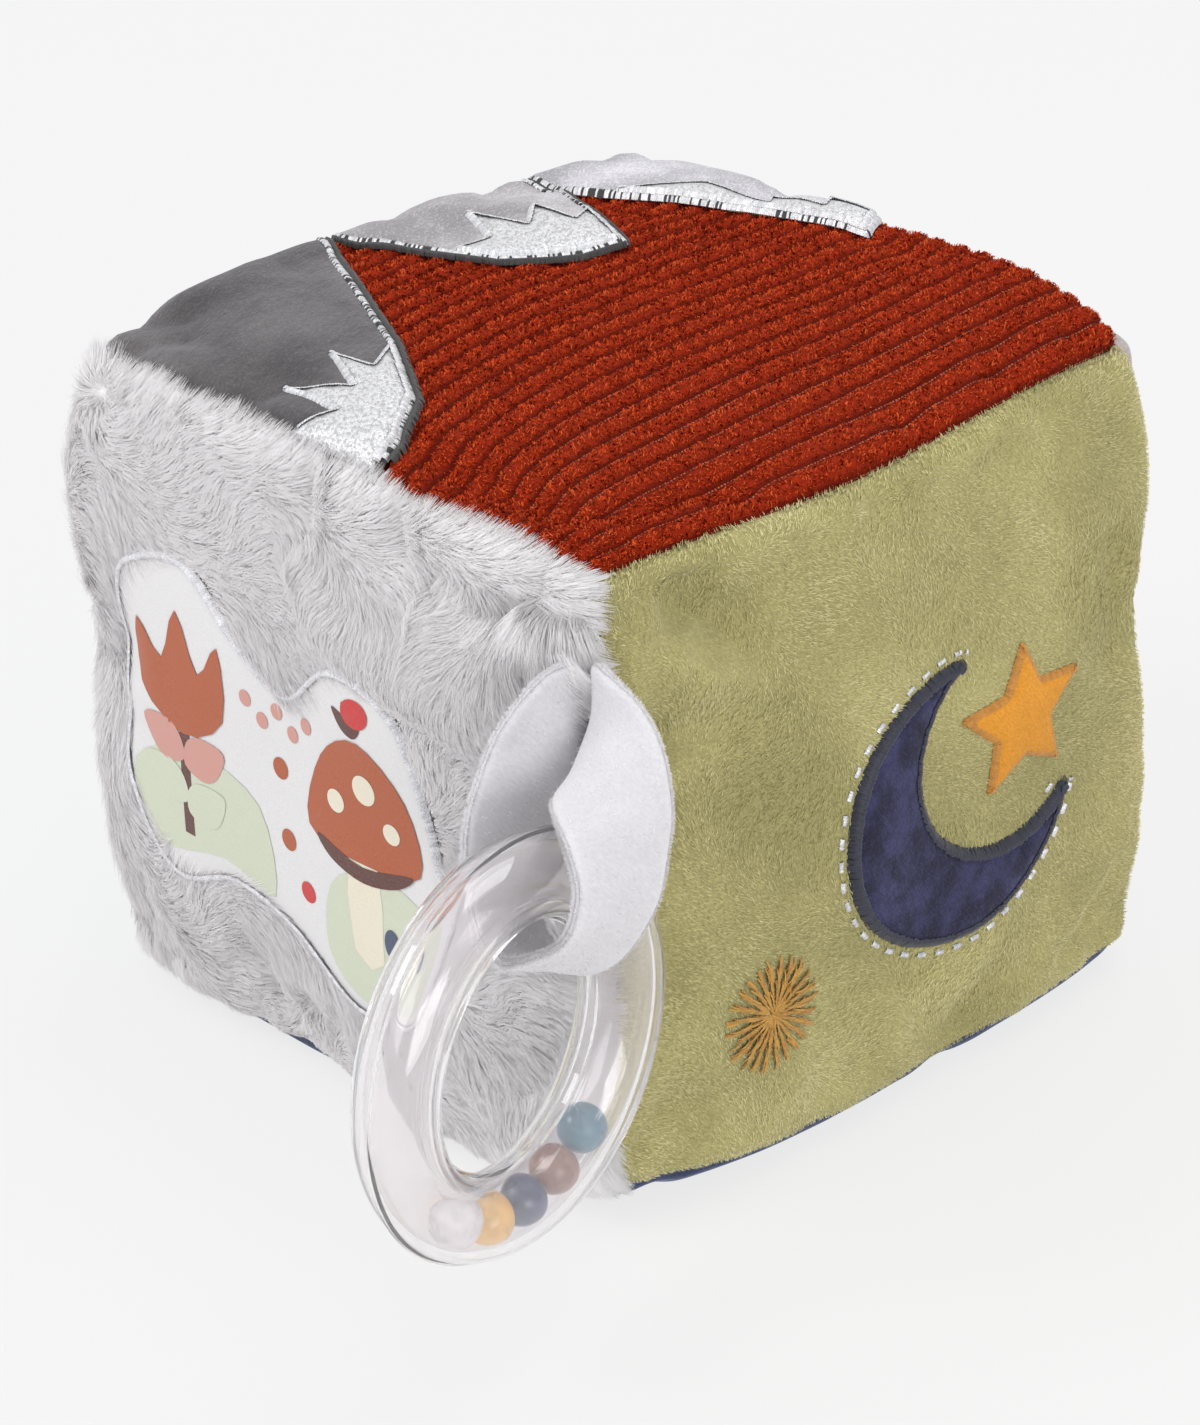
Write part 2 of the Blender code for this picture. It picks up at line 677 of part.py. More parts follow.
def make_ring(hinge):
    """Add the clear ring, hung on the loop, with its beads."""
    carrier = add_empty("ring_hang", strap_place(RING_HANG_SHARES), hinge)
    carrier.rotation_euler = ring_turn().to_euler()
    make_ring_shell("ring_shell_outer", 1, carrier)
    make_ring_shell("ring_shell_inner", -1, carrier)
    axle = add_empty("bead_axle", -ring_place(RING_RADIUS, RING_HANG_ANGLE), carrier)
    make_beads(axle)


def build():
    """Build every piece of the block."""
    front = make_panel("panel_front_fur", "front", "white fur")
    right = make_panel("panel_right_velour", "right", "olive velour")
    make_panel("panel_top_corduroy", "top", "rust corduroy")
    make_panel("panel_left_plush", "left", "light blue plush")
    make_panel("panel_back_plush", "back", "warm grey plush")
    make_panel("panel_base_plush", "base", "navy plush")
    filling = make_filling()
    make_front_patch()
    make_top_appliques()
    make_right_appliques()
    make_strap_ends((front, right, filling))
    hinge = add_empty("strap_hinge", strap_hinge_point())
    make_strap_loop(hinge)
    make_ring(hinge)


build()
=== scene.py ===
"""Looks of the soft activity block: its fabrics, fur, stitching, plush loop and clear rattle ring.

Metres, +Z up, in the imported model's own frame. Each sub-assembly is a class that builds its
meshes on the block's puffed form and dresses them.
"""

import logging
import math
from collections.abc import Callable, Sequence
from dataclasses import dataclass, field
from enum import Enum

import bmesh
import bpy
import numpy as np
from mathutils import Matrix, Vector


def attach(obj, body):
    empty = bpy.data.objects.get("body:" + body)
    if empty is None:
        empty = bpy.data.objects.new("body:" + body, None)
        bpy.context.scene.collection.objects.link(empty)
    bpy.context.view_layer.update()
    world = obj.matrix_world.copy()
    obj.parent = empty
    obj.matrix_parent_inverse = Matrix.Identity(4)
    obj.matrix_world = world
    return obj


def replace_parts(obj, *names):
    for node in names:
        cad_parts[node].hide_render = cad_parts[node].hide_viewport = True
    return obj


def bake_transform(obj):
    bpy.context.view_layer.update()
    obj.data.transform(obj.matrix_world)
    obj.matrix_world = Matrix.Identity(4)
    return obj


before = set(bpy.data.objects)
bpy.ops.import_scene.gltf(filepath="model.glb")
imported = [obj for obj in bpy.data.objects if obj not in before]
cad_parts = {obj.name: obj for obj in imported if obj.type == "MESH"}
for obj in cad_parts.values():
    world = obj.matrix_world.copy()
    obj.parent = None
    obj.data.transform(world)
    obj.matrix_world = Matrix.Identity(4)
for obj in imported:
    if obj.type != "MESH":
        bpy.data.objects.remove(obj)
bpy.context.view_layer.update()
LOG = logging.getLogger("activity_block")

Colour = tuple[float, float, float]
Shares = Sequence[tuple[float, float]]


# Small tools


def shade(colour: Colour, factor: float) -> Colour:
    """Return the colour made lighter or darker by a factor, at most white."""
    return tuple(min(1.0, channel * factor) for channel in colour)


def unit(rows: np.ndarray) -> np.ndarray:
    """Return the rows as unit vectors."""
    return rows / np.maximum(np.linalg.norm(rows, axis=1, keepdims=True), 1e-12)


def spline(
    before: np.ndarray, here: np.ndarray, after: np.ndarray, beyond: np.ndarray, t: float | np.ndarray
) -> np.ndarray:
    """Return the places at a share t of the way from here to after, on a smooth curve."""
    return 0.5 * (
        2 * here
        + (after - before) * t
        + (2 * before - 5 * here + 4 * after - beyond) * t**2
        + (3 * here - before - 3 * after + beyond) * t**3
    )


def new_mesh(shape: bmesh.types.BMesh, name: str) -> bpy.types.Mesh:
    """Turn a bmesh into a smooth mesh and free the bmesh.

    Args:
        shape: The bmesh, which is freed.
        name: The mesh's name.

    Returns:
        The new mesh.
    """
    mesh = bpy.data.meshes.new(name)
    shape.to_mesh(mesh)
    shape.free()
    mesh.shade_smooth()
    return mesh


def points_of(mesh: bpy.types.Mesh) -> np.ndarray:
    """Return the mesh's points as rows."""
    flat = np.zeros(len(mesh.vertices) * 3, np.float32)
    mesh.vertices.foreach_get("co", flat)
    return flat.reshape(-1, 3).astype(float)


def place_points(mesh: bpy.types.Mesh, points: np.ndarray) -> None:
    """Move the mesh's points to the given rows."""
    mesh.vertices.foreach_set("co", points.astype(np.float32).ravel())
    mesh.update()


def store(mesh: bpy.types.Mesh, name: str, values: np.ndarray) -> None:
    """Keep one number for each point of the mesh under a name."""
    attribute = mesh.attributes.new(name, "FLOAT", "POINT")
    attribute.data.foreach_set("value", values.astype(np.float32))


def store_colour(mesh: bpy.types.Mesh, name: str, rows: np.ndarray) -> None:
    """Keep one colour for each point of the mesh under a name."""
    attribute = mesh.color_attributes.new(name, "FLOAT_COLOR", "POINT")
    full = np.concatenate([rows, np.ones((len(rows), 1))], axis=1)
    attribute.data.foreach_set("color", full.astype(np.float32).ravel())


def store_map(mesh: bpy.types.Mesh, pairs: np.ndarray) -> None:
    """Give the mesh a UV map from one pair for each point."""
    layer = mesh.uv_layers.new(name="weave")
    corner = np.zeros(len(mesh.loops), np.int32)
    mesh.loops.foreach_get("vertex_index", corner)
    layer.uv.foreach_set("vector", pairs[corner].astype(np.float32).ravel())


def add_piece(
    name: str, mesh: bpy.types.Mesh, material: bpy.types.Material
) -> bpy.types.Object:
    """Link a finished mesh as a piece of the object.

    Args:
        name: The piece's name.
        mesh: Its mesh, with its place in its points.
        material: Its look.

    Returns:
        The new piece.
    """
    mesh.materials.append(material)
    piece = bpy.data.objects.new(name, mesh)
    bpy.context.scene.collection.objects.link(piece)
    LOG.info("%s: %d faces", name, len(mesh.polygons))
    return piece


def thicken(piece: bpy.types.Object, thickness: float, offset: float = -1.0) -> None:
    """Give a sheet its thickness, inwards by default."""
    wall = piece.modifiers.new("thickness", "SOLIDIFY")
    wall.thickness = thickness
    wall.offset = offset


@dataclass(frozen=True)
class Ripple:
    """A smooth random field made of plane waves, about 1 high."""

    wavelength: float
    seed: int
    waves: int = 14

    def at(self, points: np.ndarray) -> np.ndarray:
        """Return the field's value at each row of points."""
        chance = np.random.default_rng(self.seed)
        heading = unit(chance.normal(size=(self.waves, points.shape[1])))
        pace = 2 * math.pi / self.wavelength * chance.uniform(0.6, 1.5, self.waves)
        phase = chance.uniform(0, 2 * math.pi, self.waves)
        waves = np.sin(points @ (heading * pace[:, None]).T + phase)
        return waves.sum(axis=1) / math.sqrt(self.waves / 2)


def strand_mesh(name: str, count: int, rows: int, columns: int) -> bpy.types.Mesh:
    """Make many separate narrow strips from one grid, by deleting the faces between them.

    Args:
        name: The mesh's name.
        count: How many strips.
        rows: Faces along each strip.
        columns: Faces across each strip.

    Returns:
        The mesh, with float attributes strand, along and across on its points.
    """
    across_all = count * (columns + 1) - 1
    shape = bmesh.new()
    bmesh.ops.create_grid(shape, x_segments=across_all, y_segments=rows, size=1)
    half = across_all / 2
    gaps = []
    for face in shape.faces:
        middle = sum(vert.co.x for vert in face.verts) / len(face.verts)
        if int((middle + 1) * half) % (columns + 1) == columns:
            gaps.append(face)
    bmesh.ops.delete(shape, geom=gaps, context="FACES")
    mesh = new_mesh(shape, name)
    flat = points_of(mesh)
    line = np.rint((flat[:, 0] + 1) * half).astype(int)
    store(mesh, "strand", line // (columns + 1))
    store(mesh, "across", (line % (columns + 1)) / columns)
    store(mesh, "along", (flat[:, 1] + 1) / 2)
    return mesh


def strand_rows(mesh: bpy.types.Mesh) -> tuple[np.ndarray, np.ndarray, np.ndarray]:
    """Return each point's strip number, and its shares along and across the strip."""
    found = []
    for name in ("strand", "along", "across"):
        values = np.zeros(len(mesh.vertices), np.float32)
        mesh.attributes[name].data.foreach_get("value", values)
        found.append(values.astype(float))
    return np.rint(found[0]).astype(int), found[1], found[2]


# Material bench


class Bench:
    """Lays out the nodes of one material round its Principled shader."""

    def __init__(self, name: str) -> None:
        """Start a material with its own node tree."""
        self.material = bpy.data.materials.new(name)
        self.material.use_nodes = True
        self.tree = self.material.node_tree
        self.shader = self.tree.nodes["Principled BSDF"]
        self.place = self.tree.nodes.new("ShaderNodeTexCoord").outputs["Object"]

    def set(self, **values: float | tuple) -> None:
        """Set the shader's own sockets, named with underscores for spaces."""
        for name, value in values.items():
            self.shader.inputs[name.replace("_", " ")].default_value = value

    def link(self, source: bpy.types.NodeSocket, name: str) -> None:
        """Drive one of the shader's sockets."""
        self.tree.links.new(source, self.shader.inputs[name])

    def node(self, kind: str, **inputs: object) -> bpy.types.Node:
        """Add a node and set or link its inputs.

        Args:
            kind: The node's Blender type.
            **inputs: Values or sockets, by input name with underscores for spaces.

        Returns:
            The new node.
        """
        added = self.tree.nodes.new(kind)
        for name, value in inputs.items():
            socket = added.inputs[name.replace("_", " ")]
            if isinstance(value, bpy.types.NodeSocket):
                self.tree.links.new(value, socket)
            else:
                socket.default_value = value
        return added

    def stretched(self, stretch: Colour, turn: Colour = (0, 0, 0)) -> bpy.types.NodeSocket:
        """Return Object coordinates that draw a texture out along turned axes."""
        mapping = self.node("ShaderNodeMapping", Vector=self.place)
        mapping.vector_type = "TEXTURE"
        mapping.inputs["Scale"].default_value = stretch
        mapping.inputs["Rotation"].default_value = turn
        return mapping.outputs["Vector"]

    def noise(
        self, scale: float, detail: float = 2, rough: float = 0.5, place: object = None
    ) -> bpy.types.NodeSocket:
        """Return noise with so many cells a metre."""
        made = self.node(
            "ShaderNodeTexNoise",
            Vector=place or self.place,
            Scale=scale,
            Detail=detail,
            Roughness=rough,
        )
        return made.outputs["Fac"]

    def band(
        self, value: object, low: float, high: float, first: float = 0.0, last: float = 1.0
    ) -> bpy.types.NodeSocket:
        """Return a value moved smoothly from one span to another and held at its ends."""
        made = self.tree.nodes.new("ShaderNodeMapRange")
        made.interpolation_type = "SMOOTHSTEP"
        self.tree.links.new(value, made.inputs["Value"])
        for name, number in (
            ("From Min", low),
            ("From Max", high),
            ("To Min", first),
            ("To Max", last),
        ):
            made.inputs[name].default_value = number
        return made.outputs["Result"]

    def math(self, operation: str, first: object, second: object = 0.5) -> bpy.types.NodeSocket:
        """Return the result of a sum on sockets or numbers."""
        made = self.tree.nodes.new("ShaderNodeMath")
        made.operation = operation
        for index, value in enumerate((first, second)):
            if isinstance(value, bpy.types.NodeSocket):
                self.tree.links.new(value, made.inputs[index])
            else:
                made.inputs[index].default_value = value
        return made.outputs["Value"]

    def mix(self, share: object, first: object, second: object, kind: str = "MIX") -> object:
        """Return a mix of two colours by a share."""
        made = self.tree.nodes.new("ShaderNodeMix")
        made.data_type = "RGBA"
        made.blend_type = kind
        for index, value in ((0, share), (6, first), (7, second)):
            if isinstance(value, bpy.types.NodeSocket):
                self.tree.links.new(value, made.inputs[index])
            elif index:
                made.inputs[index].default_value = (*value, 1)
            else:
                made.inputs[index].default_value = value
        return made.outputs[2]

    def attribute(self, name: str) -> bpy.types.Node:
        """Return the node that reads a mesh attribute."""
        made = self.tree.nodes.new("ShaderNodeAttribute")
        made.attribute_name = name
        return made

    def bump(self, layers: Sequence[tuple[object, float]]) -> None:
        """Raise the surface by several heights, each with its depth in metres."""
        normal = None
        for height, depth in layers:
            made = self.node("ShaderNodeBump", Height=height, Distance=depth, Strength=1.0)
            if normal is not None:
                self.tree.links.new(normal, made.inputs["Normal"])
            normal = made.outputs["Normal"]
        self.link(normal, "Normal")


# Finishes


@dataclass(frozen=True)
class PileCloth:
    """Short brushed cloth: velour, plush or felt."""

    name: str
    slot: str
    colour: Colour
    # dark and light scale the colour of the broad patches, which are partly painted light and shade.
    dark: float = 0.72
    light: float = 1.25
    brush_size: float = 0.03
    grain_size: float = 0.00034
    grain_depth: float = 0.00018
    sheen: float = 0.4
    tint: Colour = (0.9, 0.9, 0.85)
    fleck: float = 0.35
    nap: Colour = (1.0, 1.0, 2.4)
    turn: Colour = (0.7, 0.0, 0.0)
    glow: float = 0.0

    def make(self) -> bpy.types.Material:
        """Return the cloth's material; glow is how much light soaks through its pile."""
        bench = Bench(self.name)
        lie = bench.stretched(self.nap, self.turn)
        broad = bench.noise(1 / self.brush_size, 3, 0.55)
        flecks = bench.noise(1 / self.grain_size, 2, 0.6, lie)
        locks = bench.noise(0.22 / self.grain_size, 2, 0.5, lie)
        # Broad patches: random tone that also paints the light and shade of crushed pile. Dark and
        # light flecks and locks: painted shade and painted highlights of the pile, partly random
        # tone.
        tone = bench.mix(
            bench.band(broad, 0.34, 0.68),
            shade(self.colour, self.dark),
            shade(self.colour, self.light),
        )
        deep = bench.band(flecks, 0.36, 0.56, self.fleck, 0.0)
        tone = bench.mix(deep, tone, shade(self.colour, 0.5))
        high = bench.band(flecks, 0.52, 0.70, 0.0, self.fleck)
        tone = bench.mix(high, tone, shade(self.colour, self.light * 1.35))
        deep = bench.band(locks, 0.3, 0.6, self.fleck * 0.4, 0.0)
        tone = bench.mix(deep, tone, shade(self.colour, 0.6))
        bench.link(tone, "Base Color")
        bench.set(
            Roughness=0.85,
            Sheen_Weight=self.sheen,
            Sheen_Roughness=0.45,
            Sheen_Tint=(*self.tint, 1),
        )
        bench.shader.inputs["Specular IOR Level"].default_value = 0.25
        if self.glow:
            bench.set(
                Subsurface_Weight=self.glow, Subsurface_Radius=(1, 1, 1), Subsurface_Scale=0.004
            )
        bench.bump([(locks, self.grain_depth * 2), (flecks, self.grain_depth)])
        return bench.material


@dataclass(frozen=True)
class RibbedCorduroy:
    """Tufted corduroy; its UV map counts ribs along U and metres along V."""

    name: str = "rust corduroy cloth"
    slot: str = "rust_corduroy"
    crest: Colour = (0.345, 0.024, 0.005)
    # groove is the crest colour under painted shade, for the rib grooves.
    groove: Colour = (0.085, 0.003, 0.001)
    thread: Colour = (0.58, 0.20, 0.12)
    tuft_size: float = 0.0008

    def make(self) -> bpy.types.Material:
        """Return the corduroy's material."""
        bench = Bench(self.name)
        weave = bench.tree.nodes.new("ShaderNodeUVMap")
        weave.uv_map = "weave"
        split = bench.node("ShaderNodeSeparateXYZ", Vector=weave.outputs["UV"])
        rib = bench.math("PINGPONG", split.outputs["X"], 0.5)
        tuft = bench.noise(1 / self.tuft_size, 3, 0.65, bench.stretched((1.3, 1, 1), (0, 0, 0.5)))
        pile = bench.noise(2.4 / self.tuft_size, 2, 0.6)
        broad = bench.noise(45, 3, 0.6)
        uneven = bench.math("ADD", rib, bench.band(tuft, 0.2, 0.8, -0.05, 0.05))
        # Painted shade: darker in the rib grooves, by the rib coordinate.
        tone = bench.mix(bench.band(uneven, 0.04, 0.26), self.groove, self.crest)
        # Darker and lighter tuft flecks: partly random tone, partly painted shade between tufts and
        # painted highlights on them.
        tone = bench.mix(bench.band(tuft, 0.38, 0.60, 0.4, 0.0), tone, shade(self.crest, 0.4))
        tone = bench.mix(bench.band(pile, 0.36, 0.55, 0.4, 0.0), tone, shade(self.crest, 0.5))
        tone = bench.mix(bench.band(pile, 0.55, 0.75, 0.0, 0.5), tone, shade(self.crest, 1.5))
        tone = bench.mix(bench.band(broad, 0.3, 0.7, 0.3, 0.0), tone, shade(self.crest, 0.6))
        dash = bench.math("FRACT", bench.math("MULTIPLY", split.outputs["Y"], 1500.0))
        dash = bench.band(bench.math("PINGPONG", dash, 0.5), 0.1, 0.3)
        line = bench.band(rib, 0.012, 0.032, 1.0, 0.0)
        shown = bench.attribute("thread")
        seen = bench.math("MULTIPLY", bench.math("MULTIPLY", dash, line), shown.outputs["Fac"])
        seen = bench.math("MULTIPLY", seen, bench.band(tuft, 0.4, 0.6, 0.15, 0.9))
        tone = bench.mix(seen, tone, self.thread)
        bench.link(tone, "Base Color")
        bench.set(
            Roughness=0.9,
            Sheen_Weight=0.06,
            Sheen_Roughness=0.4,
            Sheen_Tint=(1.0, 0.3, 0.15, 1),
        )
        bench.shader.inputs["Specular IOR Level"].default_value = 0.08
        bench.bump([(tuft, 0.0008), (pile, 0.0003)])
        return bench.material


@dataclass(frozen=True)
class PileFibre:
    """Pile fibre with painted shade towards its root, painted glints on its bright strands and, where
    broad is set, painted light and shade of soft folds; the mesh attributes lit and tone drive it.
    """

    name: str = "white fur fibre"
    slot: str = "white_fur"
    # root is the fibre's colour under painted shade at its root, tip its colour clear of that shade,
    # bright the colour of painted glints, and broad the strength of painted fold light and shade.
    root: Colour = (0.96, 0.945, 0.95)
    tip: Colour = (0.98, 0.965, 0.975)
    bright: Colour = (1.0, 1.0, 1.0)
    through: float = 0.52
    sheen: float = 0.4
    specular: float = 0.45
    broad: float = 0.0

    def make(self) -> bpy.types.Material:
        """Return the fibre's material."""
        bench = Bench(self.name)
        lit = bench.attribute("lit").outputs["Fac"]
        # Painted shade: darker towards each fibre's root, by the lit attribute.
        tone = bench.mix(bench.band(lit, 0.0, 0.7), self.root, self.tip)
        # Partly random strand tone, partly painted glints: strands with a high tone turn to the
        # bright colour.
        tone = bench.mix(bench.attribute("tone").outputs["Fac"], tone, self.bright)
        # Painted light and shade of soft folds: broad patches turn the fibre towards its root colour
        # and towards its bright colour.
        if self.broad:
            patches = bench.noise(36, 3, 0.55)
            tone = bench.mix(bench.band(patches, 0.34, 0.50, self.broad, 0.0), tone, self.root)
            tone = bench.mix(bench.band(patches, 0.50, 0.66, 0.0, self.broad), tone, self.bright)
        bench.link(tone, "Base Color")
        bench.set(
            Roughness=0.5,
            Sheen_Weight=self.sheen,
            Sheen_Roughness=0.5,
            Sheen_Tint=(*self.bright, 1),
        )
        bench.shader.inputs["Specular IOR Level"].default_value = self.specular
        glow = bench.node("ShaderNodeBsdfTranslucent", Color=tone)
        both = bench.tree.nodes.new("ShaderNodeMixShader")
        both.inputs[0].default_value = self.through
        bench.tree.links.new(bench.shader.outputs[0], both.inputs[1])
        bench.tree.links.new(glow.outputs[0], both.inputs[2])
        bench.tree.links.new(both.outputs[0], bench.tree.nodes["Material Output"].inputs[0])
        return bench.material


@dataclass(frozen=True)
class StitchThread:
    """Satin stitch thread; the mesh's colour attribute thread gives its colour."""

    name: str
    slot: str
    metallic: float = 0.0
    roughness: float = 0.4

    def make(self) -> bpy.types.Material:
        """Return the thread's material."""
        bench = Bench(self.name)
        fibre = bench.noise(5200, 2, 0.6)
        colour = bench.attribute("thread").outputs["Color"]
        tone = bench.mix(bench.band(fibre, 0.3, 0.7, 0.0, 0.4), colour, (0, 0, 0))
        bench.link(tone, "Base Color")
        bench.set(Roughness=self.roughness, Metallic=self.metallic, Sheen_Weight=0.2)
        bench.bump([(fibre, 0.00008)])
        return bench.material


@dataclass(frozen=True)
class WovenSatin:
    """Silvery satin with a glinting cross-thread grain."""

    name: str
    slot: str
    colour: Colour
    glint: float = 0.5
    grain: float = 0.00055

    def make(self) -> bpy.types.Material:
        """Return the satin's material."""
        bench = Bench(self.name)
        worms = bench.noise(1 / self.grain, 2, 0.5, bench.stretched((1.0, 1.8, 1.0), (0, 0, 0.9)))
        fine = bench.noise(2.6 / self.grain, 2, 0.6)
        tone = bench.mix(bench.band(worms, 0.36, 0.6), shade(self.colour, 0.55), self.colour)
        # Painted glints: fine specks of the grain turn near white.
        tone = bench.mix(bench.band(fine, 0.45, 0.7, 0.0, 0.5), tone, (0.98, 0.98, 1.0))
        bench.link(tone, "Base Color")
        bench.link(bench.band(worms, 0.35, 0.65, 0.55, 0.25), "Roughness")
        bench.set(Metallic=self.glint)
        bench.bump([(worms, 0.00025), (fine, 0.00012)])
        return bench.material


@dataclass(frozen=True)
class PrintedSatin:
    """Smooth print base cloth, or the ink of the print on it."""

    name: str
    slot: str
    colour: Colour | None = None

    def make(self) -> bpy.types.Material:
        """Return the satin's material; with no colour, it reads the attribute ink."""
        bench = Bench(self.name)
        weave = bench.noise(2600, 2, 0.5, bench.stretched((1, 1, 0.45)))
        base = self.colour or bench.attribute("ink").outputs["Color"]
        tone = bench.mix(bench.band(weave, 0.3, 0.7, 0.0, 0.16), base, (0.35, 0.33, 0.32))
        bench.link(tone, "Base Color")
        bench.set(Roughness=0.5, Sheen_Weight=0.08, Sheen_Roughness=0.35)
        bench.bump([(weave, 0.00006)])
        return bench.material


@dataclass(frozen=True)
class ClearPlastic:
    """Clear polished plastic with faint haze and flow marks."""

    name: str = "clear ring plastic"
    slot: str = "clear_plastic"

    def make(self) -> bpy.types.Material:
        """Return the plastic's material."""
        bench = Bench(self.name)
        flow = bench.noise(55, 2, 0.5)
        bench.set(
            Base_Color=(0.97, 0.95, 0.96, 1),
            Roughness=0.03,
            IOR=1.24,
            Transmission_Weight=0.92,
            Coat_Weight=0.9,
            Coat_Roughness=0.03,
        )
        bench.bump([(flow, 0.00006)])
        return bench.material


@dataclass(frozen=True)
class MouldedBead:
    """Moulded bead plastic with a faint swirl."""

    name: str
    slot: str
    colour: Colour

    def make(self) -> bpy.types.Material:
        """Return the bead's material."""
        bench = Bench(self.name)
        swirl = bench.noise(260, 3, 0.5)
        tone = bench.mix(
            bench.band(swirl, 0.35, 0.65), shade(self.colour, 0.9), shade(self.colour, 1.12)
        )
        bench.link(tone, "Base Color")
        bench.set(Coat_Weight=0.35, Coat_Roughness=0.08)
        bench.link(bench.band(swirl, 0.3, 0.7, 0.24, 0.34), "Roughness")
        bench.bump([(swirl, 0.00004)])
        return bench.material


# Block form


class Face(Enum):
    """The block's faces: outward axis, then the two axes that shares run along."""

    FRONT = ((0, -1, 0), (1, 0, 0), (0, 0, 1))
    RIGHT = ((1, 0, 0), (0, 1, 0), (0, 0, 1))
    TOP = ((0, 0, 1), (1, 0, 0), (0, 1, 0))
    LEFT = ((-1, 0, 0), (0, -1, 0), (0, 0, 1))
    BACK = ((0, 1, 0), (-1, 0, 0), (0, 0, 1))
    BASE = ((0, 0, -1), (1, 0, 0), (0, -1, 0))


@dataclass(frozen=True)
class Dimple:
    """A soft dent or swelling in one face, placed and sized in shares."""

    face: Face
    along: float
    up: float
    length: float
    width: float
    turn: float
    depth: float

    def at(self, along: np.ndarray, up: np.ndarray) -> np.ndarray:
        """Return how far the dent moves the surface out at each place."""
        x, y = along - self.along, up - self.up
        cosine, sine = math.cos(math.radians(self.turn)), math.sin(math.radians(self.turn))
        run = (x * cosine + y * sine) / self.length
        side = (y * cosine - x * sine) / self.width
        return -self.depth * np.exp(-run * run - side * side)


ON_FACE = 1 - 1e-5  # a share that counts as on the cube's face
EDGE_FADE = 0.12  # the share of a face's edge where dents and ripples fade
PUCKER_REACH = 0.35  # the share of a face's edge that the seams pucker
WAVE_DEPTH = 0.0004
FLOOR_GAP = 0.0001
DIMPLES = (
    Dimple(Face.RIGHT, -0.78, 0.46, 0.26, 0.09, -5, 0.0038),
    Dimple(Face.RIGHT, -0.64, 0.76, 0.30, 0.10, -48, 0.0040),
    Dimple(Face.RIGHT, -0.84, 0.72, 0.22, 0.08, -40, -0.0016),
    Dimple(Face.RIGHT, -0.56, 0.52, 0.30, 0.10, -20, -0.0014),
    Dimple(Face.RIGHT, 0.06, 0.72, 0.28, 0.10, -70, 0.0010),
    Dimple(Face.RIGHT, 0.20, 0.25, 0.32, 0.12, -75, 0.0007),
    Dimple(Face.RIGHT, -0.80, -0.80, 0.30, 0.09, 28, 0.0012),
    Dimple(Face.RIGHT, -0.25, -0.86, 0.34, 0.10, 20, 0.0010),
    Dimple(Face.RIGHT, 0.30, -0.82, 0.34, 0.11, 35, 0.0011),
    Dimple(Face.RIGHT, 0.80, -0.80, 0.26, 0.09, 42, 0.0012),
    Dimple(Face.RIGHT, 0.93, 0.02, 0.20, 0.10, 10, 0.0012),
    Dimple(Face.FRONT, -0.10, 0.10, 0.30, 0.20, 70, 0.0012),
    Dimple(Face.FRONT, -0.20, -0.78, 0.34, 0.14, 10, 0.0010),
    Dimple(Face.FRONT, 0.70, -0.20, 0.14, 0.50, 0, 0.0010),
    Dimple(Face.TOP, -0.62, 0.10, 0.40, 0.12, 20, 0.0010),
    Dimple(Face.TOP, -0.60, 0.56, 0.36, 0.10, 12, 0.0009),
    Dimple(Face.TOP, 0.10, 0.30, 0.50, 0.20, 60, 0.0006),
    Dimple(Face.LEFT, 0.20, 0.40, 0.50, 0.16, 30, 0.0010),
    Dimple(Face.LEFT, -0.50, -0.50, 0.40, 0.14, -30, 0.0010),
    Dimple(Face.BACK, 0.30, 0.20, 0.50, 0.16, -25, 0.0010),
    Dimple(Face.BACK, -0.55, -0.40, 0.40, 0.14, 35, 0.0010),
)

# How much of the ripples the calmer faces show
CALM = {Face.TOP: 0.3, Face.FRONT: 0.5}

# The stuffing's lumps: a place on the unit cube, a push in lump depths, and a reach
LUMP_DEPTH = 0.004
LUMP_SHARES = (
    ((-1.0, -1.0, 0.6), (-0.75, -0.75, 0.00), 0.42),
    ((-1.0, -1.0, 1.0), (0.30, 0.15, -0.15), 0.30),
    ((-1.0, -0.55, 1.0), (0.00, 0.00, 0.35), 0.35),
    ((1.0, 1.0, 0.62), (0.42, 0.45, 0.00), 0.36),
    ((1.0, 1.0, 1.0), (-0.25, -0.25, -0.35), 0.30),
    ((-1.0, 1.0, 1.0), (0.30, -0.30, -0.80), 0.55),
    ((0.6, 1.0, 1.0), (0.00, 0.20, 0.60), 0.40),
    ((1.0, -0.1, 1.0), (0.40, 0.00, -0.30), 0.45),
    ((1.0, -0.45, -1.0), (0.20, 0.00, 0.00), 0.40),
    ((1.0, -1.0, -1.0), (-0.10, 0.10, 0.50), 0.40),
    ((1.0, 1.0, -0.3), (0.30, 0.35, 0.00), 0.35),
    ((-1.0, -1.0, -0.4), (-0.50, -0.30, 0.00), 0.45),
    ((-0.2, -1.0, -1.0), (0.00, 0.70, 0.00), 0.70),
)


